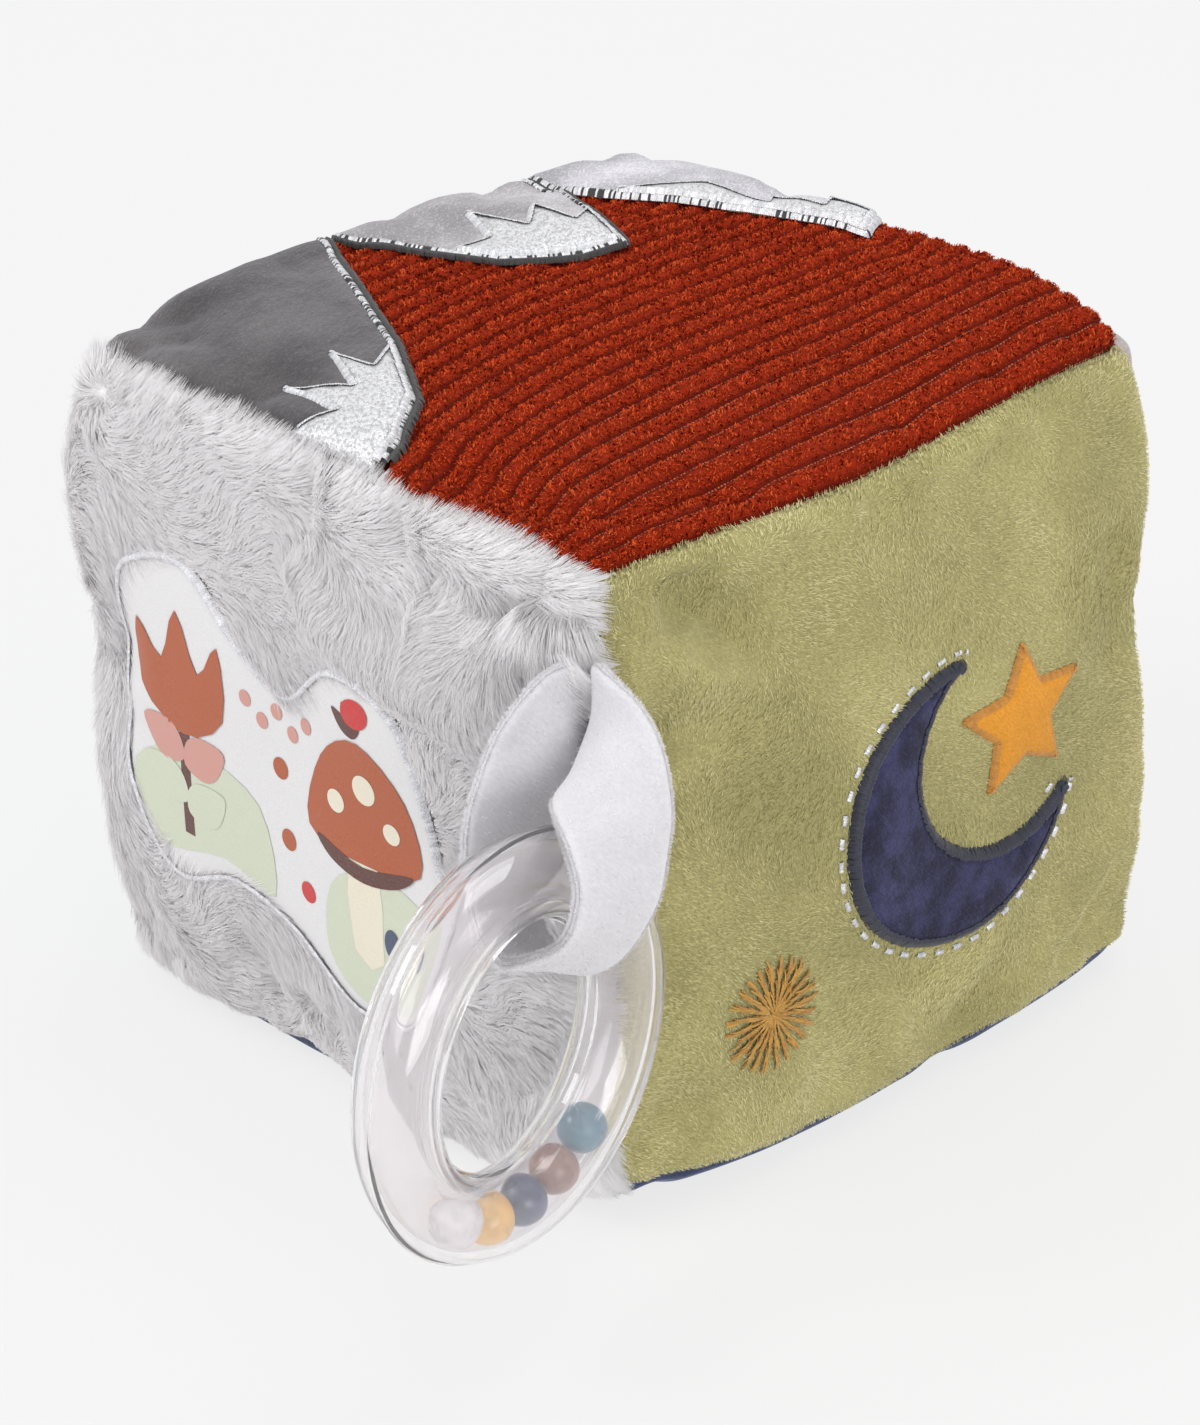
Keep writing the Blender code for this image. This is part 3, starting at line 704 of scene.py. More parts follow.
@dataclass
class BlockForm:
    """The stuffed block's surface, which every cloth piece is laid on."""

    seam_half_width: float = 0.0625
    seam_half_height: float = 0.059
    corner_rise: float = 0.0031
    side_crown: float = 0.003
    side_roll: float = 0.003
    top_crown: float = 0.004
    base_crown: float = 0.0036
    top_seam_bow: float = 0.0019
    base_seam_bow: float = 0.0038
    corner_ease: float = 0.0014
    dome_share: float = 0.45
    hem_radius: float = 0.0045
    hem_depth: float = 0.0009
    seam_groove: float = 0.0010
    seam_groove_width: float = 0.0011
    swell_limit: float = 0.0022
    swell_share: float = 0.65
    pucker: float = 0.00045
    relief_step: float = 0.012
    steps: int = 24
    frames: int = 20
    grids: dict[Face, np.ndarray] = field(default_factory=dict)

    def half_sizes(self, face: Face) -> tuple[float, float]:
        """Return the face's half width and half height between its seams."""
        tall = face not in (Face.TOP, Face.BASE)
        return self.seam_half_width, self.seam_half_height if tall else self.seam_half_width

    def cap_height(self) -> float:
        """Return how high the middle of the side faces is."""
        return self.corner_rise + self.seam_half_height

    def smooth_points(self, shares: np.ndarray) -> np.ndarray:
        """Return the puffed cube's points for points of the unit cube."""
        x, y, z = shares.T

        def dome(value: np.ndarray) -> np.ndarray:
            return 1 - value * value

        def roll(value: np.ndarray) -> np.ndarray:
            return 1 - np.abs(value) ** 10

        rise = (z + 1) / 2
        bow = self.top_seam_bow * rise**4 + self.base_seam_bow * (1 - rise) ** 4

        def side(along: np.ndarray) -> np.ndarray:
            crown = self.side_crown * dome(along) * dome(z)
            return crown + self.side_roll * roll(along) * roll(z) + bow * dome(along)

        crown = np.where(z > 0, self.top_crown, self.base_crown)
        cap = crown * (
            self.dome_share * dome(x) * dome(y) + (1 - self.dome_share) * roll(x) * roll(y)
        )
        ease = self.corner_ease * np.abs(x * y * z) ** 6
        wide = self.seam_half_width - ease
        tall = self.seam_half_height - ease
        points = np.stack(
            [x * (wide + side(y)), y * (wide + side(x)), z * (tall + cap) + self.cap_height()],
            axis=1,
        )
        for place, push, reach in LUMP_SHARES:
            away = ((shares - np.array(place)) ** 2).sum(axis=1)
            points += np.exp(-away / reach**2)[:, None] * np.array(push) * LUMP_DEPTH
        points[:, 2] = np.maximum(points[:, 2], 0.0)
        return points

    def stuff(self) -> None:
        """Swell the cover by a cloth simulation and keep its faces as grids of points."""
        shape = bmesh.new()
        bmesh.ops.create_cube(shape, size=2)
        bmesh.ops.subdivide_edges(
            shape, edges=shape.edges, cuts=self.steps - 1, use_grid_fill=True
        )
        mesh = new_mesh(shape, "stuffed_cover")
        shares = points_of(mesh)
        still = self.smooth_points(shares)
        moved = still + self.swell(mesh, shares, still)
        for face in Face:
            outward, side, rise = (np.array(axis, float) for axis in face.value)
            chosen = np.flatnonzero(shares @ outward > ON_FACE)
            column = np.rint((shares[chosen] @ side + 1) / 2 * self.steps).astype(int)
            row = np.rint((shares[chosen] @ rise + 1) / 2 * self.steps).astype(int)
            grid = np.zeros((self.steps + 1, self.steps + 1, 3))
            grid[column, row] = moved[chosen]
            self.grids[face] = self.with_borders(grid)
        bpy.data.meshes.remove(mesh)

    def swell(
        self, mesh: bpy.types.Mesh, shares: np.ndarray, still: np.ndarray
    ) -> np.ndarray:
        """Run the cloth simulation of the stuffed cover.

        Args:
            mesh: The cover's mesh.
            shares: Its points on the unit cube.
            still: Its points on the smooth form.

        Returns:
            How far each point moves, held under the limit.
        """
        start = still.copy()
        start[:, :2] *= 0.985
        place_points(mesh, start)
        cover = bpy.data.objects.new("stuffed_cover", mesh)
        bpy.context.scene.collection.objects.link(cover)
        sewn = cover.vertex_groups.new(name="sewn")
        on_seam = (np.abs(shares) > ON_FACE).sum(axis=1) > 1
        on_floor = still[:, 2] < 0.0004
        sewn.add(np.flatnonzero(on_seam | on_floor).tolist(), 1.0, "REPLACE")
        cloth = cover.modifiers.new("stuffing", "CLOTH")
        rules = cloth.settings
        rules.quality = 7
        rules.mass = 0.15
        rules.tension_stiffness = 12
        rules.compression_stiffness = 12
        rules.shear_stiffness = 6
        rules.bending_stiffness = 0.25
        rules.use_pressure = True
        rules.uniform_pressure_force = 4
        rules.shrink_min = -0.05
        rules.vertex_group_mass = "sewn"
        rules.effector_weights.gravity = 0
        cloth.collision_settings.use_collision = False
        cloth.point_cache.frame_start = 1
        cloth.point_cache.frame_end = self.frames
        scene = bpy.context.scene
        for step in range(1, self.frames + 1):
            scene.frame_set(step)
        seen = cover.evaluated_get(bpy.context.evaluated_depsgraph_get())
        move = points_of(seen.data) - start
        scene.frame_set(1)
        bpy.data.objects.remove(cover)
        reach = np.linalg.norm(move, axis=1, keepdims=True)
        move *= np.minimum(1.0, self.swell_limit / np.maximum(reach, 1e-9))
        LOG.info("cover swelled by up to %.1f mm", 1000 * reach.max())
        for axis in range(3):
            for sign in (-1, 1):
                here = shares[:, axis] * sign > ON_FACE
                calm = np.prod(1 - np.delete(shares[here], axis, axis=1) ** 8, axis=1)
                move[here, axis] -= np.median(move[here, axis]) * calm
        move *= self.swell_share
        move[:, 2] = np.where(on_floor, 0.0, move[:, 2])
        return move

    @staticmethod
    def with_borders(grid: np.ndarray) -> np.ndarray:
        """Return the grid with one more row beyond each edge, run on straight."""
        wide = np.concatenate([2 * grid[:1] - grid[1:2], grid, 2 * grid[-1:] - grid[-2:-1]])
        low, high = 2 * wide[:, :1] - wide[:, 1:2], 2 * wide[:, -1:] - wide[:, -2:-1]
        return np.concatenate([low, wide, high], axis=1)

    def curve(self, share: np.ndarray) -> tuple[np.ndarray, np.ndarray, np.ndarray]:
        """Return the cell, the four smooth weights and their slopes for shares of a face."""
        spot = (np.clip(share, -1, 1) + 1) / 2 * self.steps
        cell = np.clip(np.floor(spot), 0, self.steps - 1).astype(int)
        t = spot - cell
        weights = 0.5 * np.stack(
            [-t + 2 * t**2 - t**3, 2 - 5 * t**2 + 3 * t**3, t + 4 * t**2 - 3 * t**3, t**3 - t**2],
            axis=1,
        )
        slopes = 0.5 * np.stack(
            [-1 + 4 * t - 3 * t**2, -10 * t + 9 * t**2, 1 + 8 * t - 9 * t**2, 3 * t**2 - 2 * t],
            axis=1,
        )
        return cell, weights, slopes

    def skin(
        self, face: Face, along: np.ndarray, up: np.ndarray
    ) -> tuple[np.ndarray, np.ndarray, np.ndarray, np.ndarray]:
        """Find places on the cover's outside.

        Args:
            face: The face.
            along: Shares along it.
            up: Shares up it.

        Returns:
            Points, outward normals, and unit directions along and up the face.
        """
        column, wide, wide_slope = self.curve(along)
        row, tall, tall_slope = self.curve(up)
        reach = np.arange(4)
        near = self.grids[face][
            column[:, None, None] + reach[None, :, None], row[:, None, None] + reach[None, None, :]
        ]
        points = np.einsum("na,nb,nabk->nk", wide, tall, near)
        side = unit(np.einsum("na,nb,nabk->nk", wide_slope, tall, near))
        rise = unit(np.einsum("na,nb,nabk->nk", wide, tall_slope, near))
        normal = unit(np.cross(side, rise))
        half_width, half_height = self.half_sizes(face)
        pull = np.zeros_like(points)
        facing, level, upright = (np.array(axis, float) for axis in face.value)
        for share, half, heading in ((along, half_width, level), (up, half_height, upright)):
            edge = np.maximum(1 - np.abs(share), 0) * half
            drop = self.hem_depth * np.maximum(1 - edge / self.hem_radius, 0) ** 2
            drop = drop + self.seam_groove * np.exp(-((edge / self.seam_groove_width) ** 2))
            outward = (facing + np.sign(share)[:, None] * heading) / math.sqrt(2)
            pull += drop[:, None] * outward
        lift = sum(d.at(along, up) for d in DIMPLES if d.face is face) + np.zeros(len(points))
        inside = np.minimum(1 - np.abs(along), 1 - np.abs(up))
        fade = np.clip(inside / EDGE_FADE, 0, 1)
        tight = np.clip(1 - inside / PUCKER_REACH, 0, 1) * fade
        calm = CALM.get(face, 1.0)
        lift = lift * fade + calm * self.pucker * Ripple(0.011, 5).at(points) * tight
        lift = lift + calm * WAVE_DEPTH * Ripple(0.035, 8).at(points) * fade
        if face is Face.BASE:
            lift = lift * 0
        points = points - pull + normal * lift[:, None]
        points[:, 2] = np.maximum(points[:, 2], FLOOR_GAP)
        return points, normal, side, rise

    def relief_normals(self, face: Face, along: np.ndarray, up: np.ndarray) -> np.ndarray:
        """Return the outward normals of the cover with its dents and ripples."""
        step = self.relief_step
        wide = self.skin(face, along + step, up)[0] - self.skin(face, along - step, up)[0]
        tall = self.skin(face, along, up + step)[0] - self.skin(face, along, up - step)[0]
        return unit(np.cross(wide, tall))

    def lay(
        self, face: Face, flat: np.ndarray, lift: np.ndarray | float
    ) -> tuple[np.ndarray, np.ndarray]:
        """Lay flat points, in metres from the face's middle, on the cover.

        Args:
            face: The face.
            flat: Rows of two lengths.
            lift: How far above the cover each point lies.

        Returns:
            Points and outward normals.
        """
        half_width, half_height = self.half_sizes(face)
        points, normal, _, _ = self.skin(face, flat[:, 0] / half_width, flat[:, 1] / half_height)
        height = np.broadcast_to(np.asarray(lift, float), (len(points),))
        return points + normal * height[:, None], normal


# Cover panels


def denser_at_edges(share: np.ndarray) -> np.ndarray:
    """Return even shares moved so that they lie closer near both edges."""
    return 0.5 * share + 0.5 * np.sin(share * math.pi / 2)


@dataclass
class CoverPanel:
    """One sewn panel of the cover."""

    name: str
    node: str
    face: Face
    cloth: PileCloth
    steps: int = 120
    thickness: float = 0.0016

    def build(self, form: BlockForm) -> bpy.types.Object:
        """Return the panel, laid on the form."""
        shape = bmesh.new()
        bmesh.ops.create_grid(shape, x_segments=self.steps, y_segments=self.steps, size=1)
        mesh = new_mesh(shape, self.name)
        flat = points_of(mesh)
        along, up = denser_at_edges(flat[:, 0]), denser_at_edges(flat[:, 1])
        place_points(mesh, form.skin(self.face, along, up)[0])
        panel = add_piece(self.name, mesh, self.cloth.make())
        thicken(panel, self.thickness)
        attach(panel, "block")
        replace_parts(panel, self.node)
        return panel


@dataclass
class CorduroyTop:
    """The ribbed top panel, whose mesh runs along its ribs."""

    name: str = "corduroy_top"
    rib_height: float = 0.0011
    columns_per_rib: int = 8
    rows: int = 190
    thickness: float = 0.0016
    rib_rate: float = 13.1
    rib_slow: float = 1.05
    skew: float = 0.22

    def across(self, rib: np.ndarray) -> np.ndarray:
        """Return the share across the panel at which each rib number lies at the back."""
        root = np.sqrt(np.maximum(self.rib_rate**2 - 4 * self.rib_slow * rib, 0))
        return np.clip((self.rib_rate - root) / (2 * self.rib_slow), -1, 1)

    def along(self, across: np.ndarray, up: np.ndarray) -> np.ndarray:
        """Return where the ribs run, bent towards the front edge."""
        return across + self.skew * np.maximum(-up, 0) ** 2 * (1 - across**2)

    def rib_rise(self, rib: np.ndarray) -> np.ndarray:
        """Return the height of the ribs' section, as a share of their full height."""
        return np.abs(np.sin(math.pi * rib)) ** 0.6

    def build(self, form: BlockForm) -> bpy.types.Object:
        """Return the top panel, laid on the form."""
        first, last = -self.rib_rate - self.rib_slow, self.rib_rate - self.rib_slow
        columns = int((last - first) * self.columns_per_rib)
        shape = bmesh.new()
        bmesh.ops.create_grid(shape, x_segments=columns, y_segments=self.rows, size=1)
        mesh = new_mesh(shape, self.name)
        flat = points_of(mesh)
        rib = first + (last - first) * (flat[:, 0] + 1) / 2
        inner = np.abs(flat[:, 0]) < 1 - 1e-6
        rib = rib - 0.07 * np.sin(2 * math.pi * rib) * inner
        across = self.across(rib)
        up = denser_at_edges(flat[:, 1])
        along = self.along(across, up)
        points, normal, _, _ = form.skin(Face.TOP, along, up)
        height = self.rib_rise(rib)
        uneven = 0.10 * Ripple(0.0026, 21).at(points) + 0.07 * Ripple(0.0011, 22).at(points)
        edge = np.clip(np.minimum(1 - np.abs(along), 1 - np.abs(up)) / 0.03, 0, 1)
        raised = self.rib_height * (height * (1 + uneven) - 0.55) * edge
        place_points(mesh, points + normal * raised[:, None])
        store_map(mesh, np.stack([rib, up * form.seam_half_width], axis=1))
        patch = Ripple(0.05, 23).at(points)
        store(mesh, "thread", np.clip((across - 0.05 + 0.12 * patch) * 3, 0, 1))
        cloth = RibbedCorduroy()
        panel = add_piece(self.name, mesh, cloth.make())
        thicken(panel, self.thickness)
        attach(panel, "block")
        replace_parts(panel, "panel_top_corduroy")
        return panel


@dataclass
class Filling:
    """The stuffing inside the cover."""

    name: str = "stuffing"
    inset_share: float = 0.92

    def build(self, form: BlockForm) -> bpy.types.Object:
        """Return the stuffing: the smooth form drawn in under the cover."""
        shape = bmesh.new()
        bmesh.ops.create_cube(shape, size=2)
        bmesh.ops.subdivide_edges(shape, edges=shape.edges, cuts=19, use_grid_fill=True)
        mesh = new_mesh(shape, self.name)
        points = form.smooth_points(points_of(mesh))
        middle = np.array([0, 0, form.cap_height()])
        points = middle + (points - middle) * self.inset_share
        wool = PileCloth("white stuffing fibre", "filling", (0.9, 0.9, 0.88), sheen=0.2)
        place_points(mesh, points)
        filling = add_piece(self.name, mesh, wool.make())
        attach(filling, "block")
        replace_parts(filling, "fibre_filling")
        return filling


# Outlines and sewn cloth


@dataclass(frozen=True)
class Outline:
    """A closed outline on a face, in metres from its middle, anticlockwise."""

    points: np.ndarray

    @classmethod
    def from_shares(cls, shares: Shares, halves: tuple[float, float], steps: int = 1) -> "Outline":
        """Return the outline through shares of a face, smoothed where steps is over 1."""
        rows = np.array(shares, float) * np.array(halves)
        if steps > 1:
            before, after, beyond = np.roll(rows, 1, 0), np.roll(rows, -1, 0), np.roll(rows, -2, 0)
            parts = []
            for step in range(steps):
                t = step / steps
                parts.append(spline(before, rows, after, beyond, t))
            rows = np.stack(parts, axis=1).reshape(-1, 2)
        return cls(rows)

    def cut(self) -> tuple[tuple[float, float], float]:
        """Return the sides of the smallest box round the outline, and the area inside the outline."""
        x, y = self.points.T
        boxes = []
        for turn in np.radians(np.arange(0, 90, 1.0)):
            cosine, sine = math.cos(turn), math.sin(turn)
            boxes.append((float(np.ptp(x * cosine + y * sine)), float(np.ptp(y * cosine - x * sine))))
        area = 0.5 * abs(float(np.sum(x * np.roll(y, -1) - y * np.roll(x, -1))))
        width, length = min(boxes, key=math.prod)
        return (max(width, LEAST_SIDE), max(length, LEAST_SIDE)), area

    def hem_rise(self, places: np.ndarray, reach: float) -> np.ndarray:
        """Return the share of its thickness that cloth has at each place, least at its edge."""
        return 0.35 + 0.65 * (1 - np.exp(-self.distance(places) / reach))

    def walk(self, pitch: float) -> tuple[np.ndarray, np.ndarray]:
        """Return evenly spaced places along the outline and the directions out of it."""
        closed = np.concatenate([self.points, self.points[:1]])
        step = np.linalg.norm(np.diff(closed, axis=0), axis=1)
        run = np.concatenate([[0], np.cumsum(step)])
        count = max(8, int(run[-1] / pitch))
        where = (np.arange(count) + 0.5) * run[-1] / count
        places = np.stack([np.interp(where, run, closed[:, k]) for k in (0, 1)], axis=1)
        heading = np.roll(places, -2, 0) - np.roll(places, 2, 0)
        outward = np.stack([heading[:, 1], -heading[:, 0]], axis=1)
        return places, unit(outward)

    def distance(self, places: np.ndarray) -> np.ndarray:
        """Return each place's distance to the outline."""
        start, end = self.points, np.roll(self.points, -1, 0)
        link = end - start
        away = places[:, None, :] - start[None]
        share = (away * link[None]).sum(2) / np.maximum((link**2).sum(1), 1e-15)[None]
        nearest = start[None] + np.clip(share, 0, 1)[..., None] * link[None]
        return np.linalg.norm(places[:, None, :] - nearest, axis=2).min(axis=1)

    def holds(self, places: np.ndarray) -> np.ndarray:
        """Return whether each place is inside the outline."""
        inside = np.zeros(len(places), bool)
        for start, end in zip(self.points, np.roll(self.points, -1, 0)):
            crosses = (start[1] > places[:, 1]) != (end[1] > places[:, 1])
            rise = end[1] - start[1] if end[1] != start[1] else 1e-12
            reach = start[0] + (places[:, 1] - start[1]) / rise * (end[0] - start[0])
            inside ^= crosses & (places[:, 0] < reach)
        return inside


def fill_outlines(outlines: Sequence[Outline], cell: float) -> bmesh.types.BMesh:
    """Fill outlines with flat faces no larger than a cell.

    Args:
        outlines: The outlines.
        cell: The largest face's side, in metres.

    Returns:
        A flat bmesh whose points keep their outline's number in the layer part.
    """
    shape = bmesh.new()
    part = shape.verts.layers.int.new("part")
    for number, outline in enumerate(outlines):
        verts = [shape.verts.new((x, y, 0)) for x, y in outline.points]
        for vert in verts:
            vert[part] = number
        edges = [shape.edges.new((verts[k - 1], verts[k])) for k in range(len(verts))]
        bmesh.ops.triangle_fill(shape, edges=edges, use_beauty=True, normal=(0, 0, 1))
    low = np.min([outline.points.min(0) for outline in outlines], axis=0)
    high = np.max([outline.points.max(0) for outline in outlines], axis=0)
    for axis in (0, 1):
        normal = Vector((1, 0, 0)) if axis == 0 else Vector((0, 1, 0))
        for place in np.arange(low[axis] + cell, high[axis], cell):
            bmesh.ops.bisect_plane(
                shape,
                geom=shape.verts[:] + shape.edges[:] + shape.faces[:],
                dist=1e-7,
                plane_co=normal * float(place),
                plane_no=normal,
            )
    bmesh.ops.recalc_face_normals(shape, faces=shape.faces)
    return shape


LEAST_SIDE = 0.01  # the shortest side that cut() gives for a piece
SEWN_REACH = 0.93  # the share of a face that the peaks' borders keep within
CAP_REACH = 0.95
STITCH_OVERLAP = 1.25  # a stitch's width over the stitches' pitch
STITCH_CROWN = 0.00012


@dataclass
class SewnPatch:
    """A flat cloth shape sewn on a face."""

    name: str
    node: str
    face: Face
    outline: Outline
    cloth: object
    thickness: float = 0.0013
    lift: float = 0.0002
    cell: float = 0.0022
    edge_round: float = 0.0012

    def build(self, form: BlockForm) -> bpy.types.Object:
        """Return the patch, laid on the form and drawn down at its edge."""
        mesh = new_mesh(fill_outlines([self.outline], self.cell), self.name)
        if mesh.polygons[0].normal.z < 0:
            mesh.flip_normals()
        flat = points_of(mesh)[:, :2]
        rise = self.outline.hem_rise(flat, self.edge_round)
        points, _ = form.lay(self.face, flat, self.lift + self.thickness * rise)
        place_points(mesh, points)
        patch = add_piece(self.name, mesh, self.cloth.make())
        thicken(patch, self.thickness * 0.6)
        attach(patch, "block")
        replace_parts(patch, self.node)
        box, area = self.outline.cut()
        return patch


@dataclass
class SatinStitch:
    """A border of close parallel stitches across an edge."""

    name: str
    face: Face
    colours: Sequence[Colour]
    slot: str
    inside: float = 0.0011
    outside: float = 0.0009
    pitch: float = 0.00042
    rise: float = 0.0006
    inner_lift: float = 0.0013
    outer_lift: float = 0.0
    metallic: float = 0.0
    seed: int = 3

    def build(self, form: BlockForm, places: np.ndarray, outward: np.ndarray) -> bpy.types.Object:
        """Sew one stitch across each place.

        Args:
            form: The block's form.
            places: Rows of two lengths on the face.
            outward: The direction of each stitch.

        Returns:
            The border as one piece.
        """
        chance = np.random.default_rng(self.seed)
        count = len(places)
        mesh = strand_mesh(self.name, count, 4, 2)
        strand, along, across = strand_rows(mesh)
        inner = self.inside * chance.uniform(0.85, 1.15, count)
        outer = self.outside * chance.uniform(0.85, 1.15, count)
        tilt = chance.normal(0, 0.10, count)
        heading = outward + np.stack([-outward[:, 1], outward[:, 0]], axis=1) * tilt[:, None]
        cross = np.stack([-outward[:, 1], outward[:, 0]], axis=1)
        reach = -inner[strand] + (inner + outer)[strand] * along
        flat = places[strand] + heading[strand] * reach[:, None]
        flat = flat + cross[strand] * ((across - 0.5) * self.pitch * STITCH_OVERLAP)[:, None]
        arch = np.sqrt(np.clip(1 - (2 * along - 1) ** 2, 0, 1))
        crown = STITCH_CROWN * (1 - (2 * across - 1) ** 2)
        lift = self.inner_lift + (self.outer_lift - self.inner_lift) * along
        points, _ = form.lay(self.face, flat, lift + self.rise * arch + crown)
        place_points(mesh, points)
        palette = np.array(self.colours, float)[chance.integers(0, len(self.colours), count)]
        palette = palette * chance.uniform(0.85, 1.1, (count, 1))
        store_colour(mesh, "thread", np.clip(palette[strand], 0, 1))
        thread = StitchThread(self.name + " thread", self.slot, self.metallic)
        border = add_piece(self.name, mesh, thread.make())
        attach(border, "block")
        return border

    def sew_round(self, form: BlockForm, outline: Outline) -> bpy.types.Object:
        """Sew the border all round an outline."""
        return self.build(form, *outline.walk(self.pitch))

    def sew_open(self, form: BlockForm, outline: Outline, reach: float) -> bpy.types.Object:
        """Sew the border along an outline where it keeps clear of the face's seams."""
        places, outward = outline.walk(self.pitch)
        free = (np.abs(places) < reach * np.array(form.half_sizes(self.face))).all(axis=1)
        return self.build(form, places[free], outward[free])


# Top


CHARCOAL = (0.035, 0.034, 0.034)
SILVER = (0.72, 0.73, 0.76)
WHITE_THREAD = (0.88, 0.88, 0.92)


@dataclass
class Peaks:
    """The three velour peaks with satin caps, sewn on the top."""

    near: Shares = (
        (-0.995, -0.985), (0.22, -0.985), (0.16, -0.86), (0.02, -0.68), (-0.27, -0.50),
        (-0.995, -0.15),
    )
    near_cap: Shares = (
        (0.20, -0.98), (0.14, -0.86), (0.01, -0.69), (-0.26, -0.52), (-0.19, -0.64),
        (-0.34, -0.66), (-0.14, -0.75), (-0.32, -0.84), (-0.08, -0.86), (-0.12, -0.98),
    )
    middle: Shares = (
        (-0.995, -0.14), (-0.90, -0.15), (-0.47, 0.04), (-0.34, 0.22), (-0.31, 0.35),
        (-0.76, 0.54), (-0.995, 0.57),
    )
    middle_cap: Shares = (
        (-0.60, 0.00), (-0.48, 0.055), (-0.36, 0.225), (-0.33, 0.34), (-0.55, 0.43),
        (-0.51, 0.35), (-0.68, 0.35), (-0.58, 0.24), (-0.77, 0.19), (-0.60, 0.12),
    )
    far: Shares = (
        (-0.995, 0.58), (-0.76, 0.55), (-0.47, 0.68), (-0.18, 0.765), (0.11, 0.84),
        (0.06, 0.93), (-0.10, 0.985), (-0.995, 0.985),
    )
    far_cap: Shares = (
        (-0.64, 0.62), (-0.47, 0.695), (-0.18, 0.78), (0.09, 0.845), (0.04, 0.92),
        (-0.14, 0.93), (-0.10, 0.87), (-0.30, 0.88), (-0.26, 0.81), (-0.48, 0.80),
    )

    def outlines(self, form: BlockForm) -> list[Outline]:
        """Return the peaks' edges."""
        halves = form.half_sizes(Face.TOP)
        return [Outline.from_shares(edge, halves) for edge in (self.near, self.middle, self.far)]

    def build(self, form: BlockForm) -> None:
        """Sew the peaks, from the far one to the near one."""
        grey = (0.9, 0.9, 0.95)
        looks = (
            ("far_peak", self.far, self.far_cap, "light_grey_velour", (0.47, 0.46, 0.49), 0.0),
            ("middle_peak", self.middle, self.middle_cap, "mid_grey_velour", (0.38, 0.36, 0.38),
             0.0007),
            ("near_peak", self.near, self.near_cap, "dark_grey_velour", (0.082, 0.075, 0.078),
             0.0014),
        )
        halves = form.half_sizes(Face.TOP)
        for name, peak, cap, slot, colour, dark in looks:
            # The velour's strong dark and light patches are partly painted shade and painted light
            # across each peak.
            velour = PileCloth(
                name + " velour", slot, colour, 0.62, 1.5, 0.022, sheen=0.35, tint=grey,
                nap=(1.0, 2.4, 1.0), turn=(0, 0, 0.5),
            )
            satin = WovenSatin(name + " satin", "silver_satin", (0.80, 0.80, 0.82))
            edge = Outline.from_shares(peak, halves)
            tip = Outline.from_shares(cap, halves)
            SewnPatch(name + "_velour", name, Face.TOP, edge, velour, lift=0.0007).build(form)
            SewnPatch(
                name + "_satin", name + "_cap", Face.TOP, tip, satin, 0.0009, 0.0019
            ).build(form)
            if dark:
                SatinStitch(
                    name + "_dark_cord", Face.TOP, (CHARCOAL,), slot, -0.0001, dark,
                    inner_lift=0.0014, outer_lift=0.0006,
                ).sew_open(form, edge, SEWN_REACH)
            SatinStitch(
                name + "_silver_cord", Face.TOP, (SILVER, WHITE_THREAD, CHARCOAL), slot,
                0.0012, 0.0003, inner_lift=0.0016, outer_lift=0.0008, metallic=0.4,
            ).sew_open(form, edge, SEWN_REACH)
            SatinStitch(
                name + "_cap_stitch", Face.TOP, (WHITE_THREAD, SILVER), "silver_satin",
                inside=0.0006, outside=0.0005, inner_lift=0.0026, outer_lift=0.0018,
                rise=0.0003, metallic=0.3,
            ).sew_open(form, tip, CAP_REACH)


# Front


@dataclass(frozen=True)
class Motif:
    """One printed shape: its colour and its outline in shares of the front."""

    colour: Colour
    shares: Shares
    steps: int = 4
    layer: int = 0


def oval(along: float, up: float, width: float, height: float, turn: float = 0.0) -> Shares:
    """Return an oval's outline in shares, by its middle, half sizes and turn in degrees."""
    cosine, sine = math.cos(math.radians(turn)), math.sin(math.radians(turn))
    found = []
    for step in range(12):
        x = width * math.cos(step * math.pi / 6)
        y = height * math.sin(step * math.pi / 6)
        found.append((along + x * cosine - y * sine, up + x * sine + y * cosine))
    return tuple(found)


def leaf(along: float, up: float, length: float, width: float, turn: float) -> Shares:
    """Return a pointed leaf's outline in shares, from its stalk end, turned in degrees."""
    cosine, sine = math.cos(math.radians(turn)), math.sin(math.radians(turn))
    profile = ((0, 0), (0.25, -0.4), (0.6, -0.42), (1, 0), (0.6, 0.42), (0.25, 0.4))
    return tuple(
        (
            along + length * x * cosine - width * y * sine,
            up + length * x * sine + width * y * cosine,
        )
        for x, y in profile
    )


RUST = (0.42, 0.085, 0.018)
BROWN = (0.10, 0.025, 0.018)
SAGE = (0.62, 0.66, 0.52)
CREAM = (0.80, 0.74, 0.60)
PINK = (0.62, 0.30, 0.25)
RED = (0.58, 0.02, 0.02)
INK_BLUE = (0.05, 0.07, 0.14)


